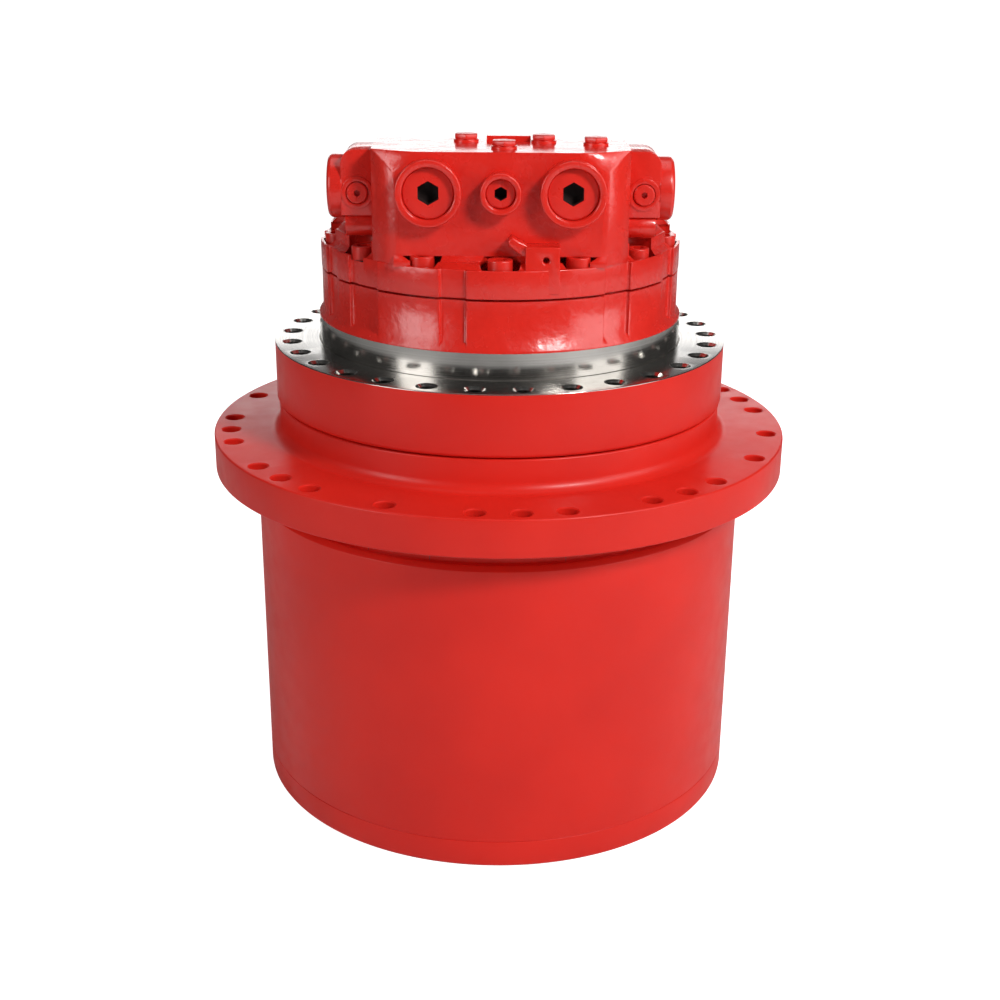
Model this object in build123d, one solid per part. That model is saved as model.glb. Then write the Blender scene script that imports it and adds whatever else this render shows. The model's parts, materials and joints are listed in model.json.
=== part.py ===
"""Excavator final drive: two-stage planetary track drive with an axial piston motor.

The frame stands on the underside of the end cover, +Z runs up the axis to the motor,
and the two large ports face -Y. All sizes are in millimetres and degrees.
"""

import math
import os

from build123d import *

# Clearances and fits
RUNNING_FIT = 0.05
SEAT_GAP = 0.3
GEAR_BACKLASH = 0.3
SCREW_HOLE_GAP = 0.6
EDGE_BREAK = 1.5

# Gear train: one ring gear serves both stages, the second carrier stands still
MODULE = 5.5
PRESSURE_ANGLE = 25.0
RING_TEETH = 66
SUN_1_TEETH = 12
SUN_2_TEETH = 18
PLANETS_1 = 3
PLANETS_2 = 4
ADDENDUM = 1.0
DEDENDUM = 1.25
FACE_WIDTH_1 = 38.0
FACE_WIDTH_2 = 72.0

# Gear stack along the axis
COVER_THICKNESS = 26.5
COVER_SPIGOT_HEIGHT = 6.0
COVER_TO_PLANET = 17.5
SEAL_CORD = 4.0
WASHER_THICKNESS = 2.4
CARRIER_1_THICKNESS = 16.0
CARRIER_GAP = 3.0
CARRIER_2_LOWER = 14.0
CARRIER_2_UPPER = 30.0
RING_TOOTH_MARGIN = 6.0

# Planet pins, needle rollers and carriers
CARRIER_SCREW_RADIUS = 10.0
CARRIER_SCREW_GRIP = 30.0
CARRIER_WEB_RADIUS = 22.0
CARRIER_1_LOBE = 20.0
CARRIER_TO_RING = 4.0
CARRIER_1_INSET = 14.0
CARRIER_1_HUB = 26.0
CARRIER_2_BORE_GAP = 3.0
WASHER_EDGE = 6.0
SUN_BORE_GAP = 4.0
SUN_COLLAR = 2.0
SUN_PAD_EDGE = 8.0
SPIGOT_WALL = 6.0
PIN_1_RADIUS = 24.0
PIN_2_RADIUS = 26.0
NEEDLE_RADIUS = 4.5
NEEDLES_PER_PLANET = 10

# Drum, hub and sprocket flange
TOOTH_BACKING = 11.6
DRUM_WALL = 31.0
FLANGE_OVERHANG = 39.0
FLANGE_THICKNESS = 34.0
GROOVE_DEPTH = 9.0
GROOVE_WIDTH = 24.0
SEAM_BELOW_RIB = 9.0
DRUM_CHAMFER = 4.0
NECK_WALL = 18.0
NECK_HEIGHT = 29.5
NECK_FILLET = 10.0
HUB_SLEEVE_WALL = 10.0
SPROCKET_DIVISIONS = 42
SPROCKET_HOLE_INSET = 15.5
SPROCKET_HOLE_RADIUS = 8.75
HOUSING_SCREWS = 24
HOUSING_SCREW_RADIUS = 8.0
COVER_SCREW_RADIUS = 6.0
COVER_HEAD_HEIGHT = 2 * COVER_SCREW_RADIUS
COVER_SCREW_START = 180 / HOUSING_SCREWS
TAP_RUNOUT = 4.0
SCREW_ENGAGEMENT = 22.0

# Oil plugs in the end cover
OIL_PLUG_HOLE = 13.0
OIL_PLUG_COLLAR = 18.0
OIL_PLUG_SINK = 8.0
OIL_PLUG_INSET = 62.0
OIL_PLUG_ANGLES = (90.0, 270.0, 0.0)

# Main bearings and floating seal
BEARING_SECTION = 40.0
BEARING_WIDTH = 38.0
BEARING_RIB = 20.0
RIB_HEIGHT = 12.0
ROLLER_RADIUS = 11.0
ROLLER_LENGTH = 26.0
ROLLER_TILT = 12.0
ROLLERS_PER_ROW = 28
NUT_THICKNESS = 17.5
NUT_BELOW_BEARING = 0.4
NUT_WALL = 17.0
NUT_STEP = 2.0
NUT_SLOTS = 6
NUT_SLOT_WIDTH = 12.0
NUT_RISE = 20.0
SEAL_RING_WALL = 14.0
SEAL_RUBBER_WALL = 8.0
SEAL_RING_HEIGHT = 13.0
SEAL_RING_RIM = 3.5
SEAL_RUBBER_HEIGHT = 8.0
SEAL_CAVITY_DEPTH = 18.0
SEAL_BORE_STEP = 4.0

# Stationary motor housing
RUNNING_GAP = 1.5
FRAME_RING_STEP = 2.0
FRAME_RING_THICKNESS = 55.0
FRAME_HOLES = 30
FRAME_HOLE_INSET = 15.0
FRAME_HOLE_RADIUS = 7.0
FRAME_HOLE_SINK = 9.5
FRAME_HOLE_DEPTH = 36.0
FRAME_LEDGE = 42.0
PILOT_HEIGHT = 23.0
CASING_SETBACK = 6.7
CASING_HEIGHT = 45.0
CASING_LOBE = 3.0
CASING_BOLTS = 14
CASING_BOLT_START = -90.0
LOBE_HALF_ANGLE = 8.0
LIP_HEIGHT = 9.0
SHOULDER_HEIGHT = 12.0
CAVITY_WALL = 46.0
FLOOR_THICKNESS = 36.0

# Swash plate, cylinder block and motor shaft
SWASH_RADIUS = 80.0
SWASH_THICKNESS = 22.0
SWASH_BORE = 37.0
SWASH_ANGLE = 15.0
SWASH_MIN_ANGLE = 8.0
PIVOT_RADIUS = 9.0
PIVOT_LENGTH = 26.0
PIVOT_OFFSET = 50.0
PIVOT_HEIGHT = 18.0
PIVOT_TO_BACK = 5.0
TILT_PISTON_RADIUS = 9.0
TILT_PISTON_OFFSET = 68.0
TILT_PISTON_LENGTH = 32.0
TILT_PISTON_TIP = 4.0
SHAFT_RADIUS = 24.0
SHAFT_COUPLING_RADIUS = 30.0
SHAFT_COUPLING_LENGTH = 56.0
COUPLING_RISE = 6.0
COUPLING_END = 8.0
REAR_BEARING_RISE = 14.0
SHAFT_TAIL_RADIUS = 20.0
SHAFT_TAIL_GAP = 3.0
SHAFT_SEAL_SHOULDER = 6.0
FLOOR_LIP = 14.0
SUN_SHAFT_RADIUS = 19.0
BLOCK_WALL = 16.0
PISTONS = 9
PISTON_RADIUS = 10.5
PISTON_PITCH_RADIUS = 52.0
PISTON_BODY_LENGTH = 66.0
PISTON_NECK_RADIUS = 4.5
PISTON_TAPER = 2.0
CYLINDER_HEAD = 12.0
PISTON_HEAD_ROOM = 10.0
SHOE_HEIGHT = 14.0
SHOE_FLANGE = 4.0
SHOE_SOCKET_DEPTH = 7.0
SHOE_TO_BLOCK = 12.0
RETAINER_THICKNESS = 4.0
RETAINER_EDGE = 3.0
SHAFT_BEARING_SECTION = 25.0
SHAFT_BEARING_WIDTH = 21.0
SHAFT_BEARING_ROLLERS = 10
SHAFT_SEAL_HEIGHT = 9.0
REAR_BEARING_SECTION = 20.0

# Parking brake
DISC_THICKNESS = 3.5
FRICTION_DISCS = 3
BRAKE_DISC_WIDTH = 28.0
BRAKE_LEDGE_RISE = 32.0
BRAKE_BORE_WALL = 39.3
BRAKE_PISTON_HEIGHT = 38.0
BRAKE_STROKE = 2.5
DISC_SPRING_THICKNESS = 4.0
DISC_SPRING_RISE = 9.0
VALVE_PLATE_THICKNESS = 6.0

# Rear cover with its valve block
REAR_FLANGE_THICKNESS = 24.0
CURB_HEIGHT = 14.0
CURB_SETBACK = 6.0
CURB_SLOPE = 4.0
CASING_BOLT_INSET = 10.3
CASING_BOLT_RADIUS = 7.0
CASING_BOLT_ENGAGEMENT = 30.0
BOLT_POCKET_GAP = 7.0
BOLT_SEAT_SINK = 4.0
BOLT_POCKET_RIM = 2.0
FRONT_LEDGE_RISE = 4.0
BLOCK_FRONT_INSET = 21.3
VALVE_BLOCK_DEPTH = 93.0
VALVE_BLOCK_HEIGHT = 93.0
FRONT_FACE_WIDTH = 178.0
CORNER_CHAMFER = 19.0
BLOCK_FOOT = 4.0
WING_LENGTH = 28.0
WING_DEPTH = 51.0
WING_HEIGHT = 70.0
WING_TOP_DROP = 4.0
WING_CORNER = 12.0
LOWER_BOSS_RADIUS = 10.5
LOWER_BOSS_HEIGHT = 26.0
PORT_HEIGHT = 61.0
PORT_SPACING = 119.0
PORT_BOSS_RADIUS = 27.3
PORT_BOSS_LENGTH = 16.0
PORT_SHOULDER_RADIUS = 33.0
PORT_RECESS_RADIUS = 21.5
PORT_RECESS_DEPTH = 9.0
PILOT_BOSS_RADIUS = 17.0
PILOT_RECESS_RADIUS = 12.5
WING_PLUG_RADIUS = 9.0
WING_BOSS_RADIUS = 13.5
WING_BOSS_RISE = 1.5
WING_PLUG_SINK = 1.0
WING_PLUG_DROP = 8.0
PLUG_COLLAR_HEIGHT = 5.5
PLUG_SOCKET_DEPTH = 4.5
PLUG_STEM_RATIO = 0.78
PLUG_STEM_LENGTH = 14.0
PORT_HEX_SIZE = 17.0
PILOT_HEX_SIZE = 10.0
WING_HEX_SIZE = 5.0
TOP_PLUG_SIZE = 19.0
TOP_PLUG_HEIGHT = 6.5
TOP_PLUG_COLLAR = 2.0
TOP_PLUG_STEM = 6.0
TOP_PAD_LENGTH = 38.0
TOP_PAD_WIDTH = 12.0
TOP_PAD_HEIGHT = 4.5
TOP_PAD_X = 6.5
SQUARE_PAD_WIDTH = 28.5
SQUARE_PAD_HEIGHT = 22.0
SQUARE_PAD_X = 35.0
PAD_HOLE_X = 38.0
PAD_HOLE_HEIGHT = 8.0
PAD_HOLE_RADIUS = 2.6
PAD_HOLE_DEPTH = 12.0
EAR_WIDTH = 18.0
EAR_HEIGHT = 32.0
EAR_REACH = 15.0
EAR_GAP_OVER_HEAD = 2.0
DOME_HEIGHT = 34.0
DOME_SHOULDER = 18.0
DOME_INSET = 30.0

# Spools and valves in the block
SPOOL_RADIUS = 15.0
SPOOL_HEIGHT = 55.0
SPOOL_LENGTH = 190.0
SPOOL_STROKE = 7.0
SPOOL_CAP_RADIUS = 27.0
SPOOL_CAP_LENGTH = 12.5
SPOOL_CAP_NECK = 10.0
SPRING_WIRE = 2.4
SPRING_TURNS = 4
SPRING_ROOM = 4.0
RELIEF_RADIUS = 12.0
RELIEF_HEAD_SIZE = 30.0
RELIEF_SPACING = 84.0
RELIEF_BEHIND_BLOCK = 37.0
RELIEF_DEPTH = 20.0
RELIEF_COLLAR = 3.0
RELIEF_HEAD_TOP = 15.0
RELIEF_STEM_TOP = 25.0

# Heights worked out from the stack, from the underside of the cover upwards
PLANET_1_BOTTOM = COVER_THICKNESS + COVER_TO_PLANET
PLANET_1_TOP = PLANET_1_BOTTOM + FACE_WIDTH_1
WASHER_SPACE = WASHER_THICKNESS + 2 * SEAT_GAP
CARRIER_1_BOTTOM = PLANET_1_TOP + WASHER_SPACE
CARRIER_1_TOP = CARRIER_1_BOTTOM + CARRIER_1_THICKNESS
CARRIER_2_BOTTOM = CARRIER_1_TOP + CARRIER_GAP
PLANET_2_BOTTOM = CARRIER_2_BOTTOM + CARRIER_2_LOWER + WASHER_SPACE
PLANET_2_TOP = PLANET_2_BOTTOM + FACE_WIDTH_2
CARRIER_2_PLATE = PLANET_2_TOP + WASHER_SPACE
SPINDLE_END = CARRIER_2_PLATE + CARRIER_2_UPPER
NUT_BOTTOM = SPINDLE_END + NUT_RISE
LOWER_BEARING = NUT_BOTTOM + NUT_THICKNESS + NUT_BELOW_BEARING
RIB_BOTTOM = LOWER_BEARING + BEARING_WIDTH
UPPER_BEARING = RIB_BOTTOM + BEARING_RIB
UPPER_BEARING_TOP = UPPER_BEARING + BEARING_WIDTH
DRUM_TOP = RIB_BOTTOM - SEAM_BELOW_RIB
FLANGE_BOTTOM = DRUM_TOP + GROOVE_WIDTH
FLANGE_TOP = FLANGE_BOTTOM + FLANGE_THICKNESS
NECK_TOP = FLANGE_TOP + NECK_HEIGHT
RING_BOTTOM = NECK_TOP + RUNNING_GAP
RING_TOP = RING_BOTTOM + FRAME_RING_THICKNESS
PILOT_TOP = RING_TOP + PILOT_HEIGHT
CASING_TOP = PILOT_TOP + CASING_HEIGHT
REAR_FLANGE_TOP = CASING_TOP + REAR_FLANGE_THICKNESS
CURB_TOP = REAR_FLANGE_TOP + CURB_HEIGHT
BLOCK_TOP = REAR_FLANGE_TOP + VALVE_BLOCK_HEIGHT
DOME_TOP = REAR_FLANGE_TOP + DOME_HEIGHT
CAVITY_FLOOR = SPINDLE_END + FLOOR_THICKNESS
PIVOT_Z = CAVITY_FLOOR + PIVOT_HEIGHT

# Radii worked out from the gears outwards and from the bearings inwards
RING_ROOT = MODULE * (RING_TEETH / 2 + DEDENDUM)
RING_TIP = MODULE * (RING_TEETH / 2 - ADDENDUM)
HOUSING_BORE = RING_ROOT + TOOTH_BACKING
DRUM_RADIUS = HOUSING_BORE + DRUM_WALL
SCREW_CIRCLE = (HOUSING_BORE + DRUM_RADIUS) / 2 - EDGE_BREAK
FLANGE_RADIUS = DRUM_RADIUS + FLANGE_OVERHANG
SPROCKET_PITCH_RADIUS = FLANGE_RADIUS - SPROCKET_HOLE_INSET
SLEEVE_RADIUS = HOUSING_BORE - RUNNING_FIT
BEARING_OUTER = SLEEVE_RADIUS - HUB_SLEEVE_WALL
BEARING_INNER = BEARING_OUTER - BEARING_SECTION
BEARING_PITCH = (BEARING_OUTER + BEARING_INNER) / 2
NECK_RADIUS = BEARING_OUTER + NECK_WALL
FRAME_RING_RADIUS = NECK_RADIUS + FRAME_RING_STEP
FRAME_HOLE_PITCH_RADIUS = FRAME_RING_RADIUS - FRAME_HOLE_INSET
PILOT_RADIUS = FRAME_RING_RADIUS - FRAME_LEDGE
CASING_RADIUS = PILOT_RADIUS - CASING_SETBACK
LOBE_RADIUS = CASING_RADIUS + CASING_LOBE
CASING_BOLT_CIRCLE = CASING_RADIUS - CASING_BOLT_INSET
SEAL_SHOULDER = BEARING_INNER + SHOULDER_HEIGHT
SEAL_BORE = BEARING_OUTER + SEAL_BORE_STEP
CAVITY_RADIUS = BEARING_INNER - CAVITY_WALL
BRAKE_BORE = CASING_RADIUS - BRAKE_BORE_WALL
PLANET_1_TEETH = (RING_TEETH - SUN_1_TEETH) // 2
PLANET_2_TEETH = (RING_TEETH - SUN_2_TEETH) // 2
CENTRE_1 = MODULE * (SUN_1_TEETH + PLANET_1_TEETH) / 2
CENTRE_2 = MODULE * (SUN_2_TEETH + PLANET_2_TEETH) / 2
CARRIER_RADIUS = RING_TIP - CARRIER_TO_RING

# Motor and brake heights
SWASH_TILT = math.radians(SWASH_ANGLE)
SWASH_HIGH_POINT = (
    PIVOT_Z
    + (PIVOT_TO_BACK + SWASH_THICKNESS) * math.cos(SWASH_TILT)
    + SWASH_RADIUS * math.sin(SWASH_TILT)
)
SHOE_BOTTOM = SWASH_HIGH_POINT + EDGE_BREAK
SHOE_TOP = SHOE_BOTTOM + SHOE_HEIGHT
SHOE_FOOT_RADIUS = PISTON_RADIUS + 2.5
SHOE_NECK_RADIUS = PISTON_RADIUS - 2.0
BLOCK_BOTTOM = SHOE_TOP + SHOE_TO_BLOCK
BLOCK_CYL_TOP = BLOCK_BOTTOM + PISTON_BODY_LENGTH + PISTON_HEAD_ROOM + CYLINDER_HEAD
PORT_PLATE_TOP = BLOCK_CYL_TOP + SEAT_GAP / 3 + VALVE_PLATE_THICKNESS
BLOCK_RADIUS = PISTON_PITCH_RADIUS + PISTON_RADIUS + BLOCK_WALL
BRAKE_LEDGE = BLOCK_BOTTOM + BRAKE_LEDGE_RISE
BRAKE_DISC_INNER = BLOCK_RADIUS + SEAT_GAP
BRAKE_DISC_OUTER = BRAKE_DISC_INNER + BRAKE_DISC_WIDTH
BRAKE_STACK_TOP = BRAKE_LEDGE + (2 * FRICTION_DISCS + 1) * DISC_THICKNESS
BRAKE_PISTON_BOTTOM = BRAKE_STACK_TOP + RUNNING_FIT
BRAKE_PISTON_TOP = BRAKE_PISTON_BOTTOM + BRAKE_PISTON_HEIGHT
SPRING_SEAT = BRAKE_PISTON_TOP + DISC_SPRING_RISE + BRAKE_STROKE
REAR_BOSS_RADIUS = BLOCK_RADIUS + 4.0

# Valve block places
BLOCK_FRONT = -(CASING_RADIUS - BLOCK_FRONT_INSET)
BLOCK_BACK = BLOCK_FRONT + VALVE_BLOCK_DEPTH
BLOCK_HALF_WIDTH = FRONT_FACE_WIDTH / 2 + CORNER_CHAMFER
WING_FRONT = BLOCK_BACK - WING_DEPTH
WING_END = BLOCK_HALF_WIDTH + WING_LENGTH
WING_TOP = BLOCK_TOP - WING_TOP_DROP
PORT_Z = REAR_FLANGE_TOP + PORT_HEIGHT
PORT_FACE = BLOCK_FRONT - PORT_BOSS_LENGTH
SPOOL_Y = (WING_FRONT + BLOCK_BACK) / 2
SPOOL_Z = REAR_FLANGE_TOP + SPOOL_HEIGHT
SPOOL_CHAMBER = WING_END - SPOOL_LENGTH / 2

STEP_FOLDER = "parts"


def disc(radius, bottom, top):
    """A round solid about the Z axis between two heights."""
    return Pos(0, 0, bottom) * extrude(Circle(radius), top - bottom)


def ring(outer, inner, bottom, top):
    """A plain ring about the Z axis between two heights."""
    return Pos(0, 0, bottom) * extrude(Circle(outer) - Circle(inner), top - bottom)


def turned(*outline):
    """A solid of revolution from a closed outline of (radius, height) points."""
    points = [(radius, 0, height) for radius, height in outline]
    return revolve(make_face(Polyline(*points, close=True)), Axis.Z)


def around(shape, count, radius=0.0, start=0.0):
    """Copies of a shape turned evenly about the Z axis, moved out to a radius."""
    return [place * shape for place in PolarLocations(radius, count, start)]


def circle_edges(body, radius, height):
    """The circular edges of a solid with the given radius, at a height."""
    return [
        edge for edge in body.edges().filter_by(GeomType.CIRCLE)
        if abs(edge.radius - radius) < RUNNING_FIT and abs(edge.arc_center.Z - height) < RUNNING_FIT
    ]


def facing_front(shape, x, y, z):
    """A shape built along +Z is laid down to point at -Y and moved to its place."""
    return Pos(x, y, z) * Rot(90, 0, 0) * shape


def facing_side(shape, side, x, y, z):
    """A shape built along +Z is laid down to point at +X (side 1) or -X (side -1)."""
    return Pos(side * x, y, z) * Rot(0, side * 90, 0) * shape


def hexagon_prism(size, bottom, top):
    """A hexagonal prism with the given size across its flats."""
    return Pos(0, 0, bottom) * extrude(RegularPolygon(size / 2, 6, major_radius=False), top - bottom)


def write(name, *solids):
    """Write one node; several solids stay separate inside it."""
    shape = solids[0] if len(solids) == 1 else Compound(children=list(solids))
    export_step(shape, f"{STEP_FOLDER}/{name}.step")


# Involute teeth

def involute(angle):
    """The involute function of an angle in radians."""
    return math.tan(angle) - angle


def tooth_half_angle(teeth, radius, backlash):
    """Half the angle that a tooth, or a ring gear's space, takes up at a radius."""
    pressure = math.radians(PRESSURE_ANGLE)
    pitch = MODULE * teeth / 2
    base = pitch * math.cos(pressure)
    local = math.acos(min(1.0, base / radius))
    return math.pi / (2 * teeth) + involute(pressure) - involute(local) - backlash / pitch


def tooth_outline(teeth, root, tip, backlash, phase):
    """The toothed outline of a gear, with one chord point at the pitch circle."""
    pitch = MODULE * teeth / 2
    points = []
    for tooth in range(teeth):
        centre = phase + tooth * 2 * math.pi / teeth
        flank = [(radius, tooth_half_angle(teeth, radius, backlash)) for radius in (root, pitch, tip)]
        for radius, half in flank:
            points.append((radius * math.cos(centre - half), radius * math.sin(centre - half)))
        for radius, half in reversed(flank):
            points.append((radius * math.cos(centre + half), radius * math.sin(centre + half)))
    return make_face(Polyline(*points, close=True))


def gear_outline(teeth, phase=0.0):
    """An external gear's face; phase is the angle of one tooth's middle, in radians."""
    root = MODULE * (teeth / 2 - DEDENDUM)
    tip = MODULE * (teeth / 2 + ADDENDUM)
    return tooth_outline(teeth, root, tip, GEAR_BACKLASH / 2, phase)


def ring_space_outline(teeth, phase):
    """The opening of an internal gear; phase is the angle of one space's middle."""
    return tooth_outline(teeth, RING_TIP, RING_ROOT, -GEAR_BACKLASH / 2, phase)


def sun_phase(planet_teeth):
    """The turn of a sun that lets its planets meet the ring gear shared by both stages."""
    return math.pi * (planet_teeth - PLANET_2_TEETH) / SUN_1_TEETH


def planet_phase(sun_teeth, planet_teeth, angle):
    """The turn of a planet at an angle that puts it in mesh with its sun."""
    sun_turns = (angle - sun_phase(planet_teeth)) * sun_teeth / (2 * math.pi)
    planet_turns = 0.5 - sun_turns
    return angle + math.pi - planet_turns * 2 * math.pi / planet_teeth


def ring_phase():
    """The turn of the ring gear's spaces that meets a planet standing at angle 0."""
    planet_turns = -planet_phase(SUN_2_TEETH, PLANET_2_TEETH, 0.0) * PLANET_2_TEETH / (2 * math.pi)
    return -planet_turns * 2 * math.pi / RING_TEETH


def planet_gear(sun_teeth, planet_teeth, centre, angle, bore, bottom, top):
    """A planet gear in its place, with a plain bore for its needle rollers."""
    outline = gear_outline(planet_teeth, planet_phase(sun_teeth, planet_teeth, angle)) - Circle(bore)
    gear = extrude(outline, top - bottom)
    return Pos(centre * math.cos(angle), centre * math.sin(angle), bottom) * gear


def needle_set(centre, pin_radius, count, planets, bottom, top):
    """The needle rollers of all planets of a stage, standing round their pins."""
    path = pin_radius + RUNNING_FIT + NEEDLE_RADIUS
    rollers = []
    for home in PolarLocations(centre, planets):
        for place in PolarLocations(path, count):
            rollers.append(home * place * disc(NEEDLE_RADIUS, bottom, top))
    return rollers


def planet_bore(pin_radius):
    """The bore of a planet round its pin and needle rollers."""
    return pin_radius + 2 * (NEEDLE_RADIUS + RUNNING_FIT)


def thrust_washers(centre, pin_radius, planets, *bottoms):
    """The thrust washers of a stage, one above and one below each planet."""
    outer = planet_bore(pin_radius) + WASHER_EDGE
    washers = []
    for bottom in bottoms:
        washer = ring(outer, pin_radius + SEAT_GAP, bottom, bottom + WASHER_THICKNESS)
        washers += around(washer, planets, centre)
    return washers


# Screws and plugs

def socket_screw(radius, length, head_height, head_top):
    """A socket head screw pointing up, its head's flat face at a height."""
    head = disc(1.5 * radius, head_top - head_height, head_top)
    socket = hexagon_prism(1.5 * radius, head_top - head_height, head_top - head_height / 2)
    return head + disc(radius, head_top, head_top + length) - socket


def plug(collar, stem, stem_length, hex_size):
    """A port plug pointing at +Z: the collar lies above z = 0 and holds a hexagon socket."""
    collar_height = PLUG_COLLAR_HEIGHT
    socket = hexagon_prism(hex_size, collar_height - PLUG_SOCKET_DEPTH, collar_height + 1.0)
    body = disc(collar, 0, collar_height) + disc(stem, -stem_length, 0)
    return body - socket


# Rotating housing: cover, ring gear drum and hub

def end_cover():
    """The end cover with its spigot, screw counterbores, sun thrust pad and plug holes."""
    pad_top = PLANET_1_BOTTOM - WASHER_SPACE
    body = turned(
        (0, 0),
        (DRUM_RADIUS - 3 * EDGE_BREAK, 0),
        (DRUM_RADIUS, 3 * EDGE_BREAK),
        (DRUM_RADIUS, COVER_THICKNESS),
        (RING_ROOT - RUNNING_FIT, COVER_THICKNESS),
        (RING_ROOT - RUNNING_FIT, COVER_THICKNESS + COVER_SPIGOT_HEIGHT),
        (RING_TIP - SPIGOT_WALL, COVER_THICKNESS + COVER_SPIGOT_HEIGHT),
        (RING_TIP - 2 * SPIGOT_WALL, COVER_THICKNESS),
        (SUN_SHAFT_RADIUS + SUN_PAD_EDGE, COVER_THICKNESS),
        (SUN_SHAFT_RADIUS, pad_top),
        (0, pad_top),
    )
    head = COVER_HEAD_HEIGHT
    cuts = around(
        disc(1.5 * COVER_SCREW_RADIUS + SCREW_HOLE_GAP, 0, head + EDGE_BREAK)
        + disc(COVER_SCREW_RADIUS + SCREW_HOLE_GAP, 0, COVER_THICKNESS),
        HOUSING_SCREWS, SCREW_CIRCLE, COVER_SCREW_START,
    )
    cuts += [place * disc(OIL_PLUG_HOLE, 0, COVER_THICKNESS) for place in oil_plug_places()]
    cuts += [place * disc(OIL_PLUG_COLLAR + SEAT_GAP, 0, OIL_PLUG_SINK) for place in oil_plug_places()]
    return body - cuts


def oil_plug_places():
    """The filler, drain and level plugs sit on one circle of the cover."""
    radius = RING_TIP - OIL_PLUG_INSET
    return [Rot(0, 0, angle) * Pos(radius, 0, 0) for angle in OIL_PLUG_ANGLES]


def oil_plugs():
    """Three sunk plugs with hexagon sockets, pointing down out of the cover."""
    stem = OIL_PLUG_HOLE - RUNNING_FIT
    upright = plug(OIL_PLUG_COLLAR, stem, PLUG_STEM_LENGTH, PORT_HEX_SIZE)
    body = Pos(0, 0, OIL_PLUG_SINK) * Rot(180, 0, 0) * upright
    return [place * body for place in oil_plug_places()]


def cover_screws():
    """The screws that hold the cover on the drum."""
    head = COVER_HEAD_HEIGHT
    seat = head + EDGE_BREAK
    length = COVER_THICKNESS - seat + SCREW_ENGAGEMENT
    screw = socket_screw(COVER_SCREW_RADIUS, length, head, seat)
    return around(screw, HOUSING_SCREWS, SCREW_CIRCLE, COVER_SCREW_START)


def housing_screw_seat():
    """The height of the seat under the head of a long housing screw, inside the drum."""
    return COVER_THICKNESS + 2 * HOUSING_SCREW_RADIUS + EDGE_BREAK


def ring_gear_drum():
    """The drum: the ring gear's teeth inside, long screw holes in its wall."""
    tooth_bottom = PLANET_1_BOTTOM - RING_TOOTH_MARGIN
    tooth_top = PLANET_2_TOP + RING_TOOTH_MARGIN
    wall = turned(
        (HOUSING_BORE, COVER_THICKNESS),
        (DRUM_RADIUS, COVER_THICKNESS),
        (DRUM_RADIUS, DRUM_TOP - DRUM_CHAMFER),
        (DRUM_RADIUS - DRUM_CHAMFER, DRUM_TOP),
        (HOUSING_BORE, DRUM_TOP),
    )
    teeth = Circle(HOUSING_BORE + 1.0) - ring_space_outline(RING_TEETH, ring_phase())
    gear = Pos(0, 0, tooth_bottom) * extrude(teeth, tooth_top - tooth_bottom)
    seat = ring(HOUSING_BORE + 1.0, RING_ROOT, COVER_THICKNESS, tooth_bottom)
    seat_height = housing_screw_seat()
    cuts = around(
        disc(1.5 * HOUSING_SCREW_RADIUS + SCREW_HOLE_GAP, COVER_THICKNESS, seat_height)
        + disc(HOUSING_SCREW_RADIUS + SCREW_HOLE_GAP, seat_height, DRUM_TOP),
        HOUSING_SCREWS, SCREW_CIRCLE,
    )
    tap_end = COVER_THICKNESS + SCREW_ENGAGEMENT + TAP_RUNOUT
    tapped = disc(COVER_SCREW_RADIUS + RUNNING_FIT, COVER_THICKNESS, tap_end)
    cuts += around(tapped, HOUSING_SCREWS, SCREW_CIRCLE, COVER_SCREW_START)
    return wall + gear + seat - cuts


def housing_screws():
    """The long screws that pull the drum against the hub."""
    seat = housing_screw_seat()
    length = DRUM_TOP - seat + SCREW_ENGAGEMENT
    screw = socket_screw(HOUSING_SCREW_RADIUS, length, 2 * HOUSING_SCREW_RADIUS, seat)
    return around(screw, HOUSING_SCREWS, SCREW_CIRCLE)


def sprocket_slots():
    """The sprocket holes: groups of three and single holes on one set of divisions."""
    slots = []
    for start in (-20.5, -10.5, -0.5, 11.5):
        slots += [start, start + 1, start + 2, start + 4, start + 5, start + 6, start + 8]
    return slots + [9.5]


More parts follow.
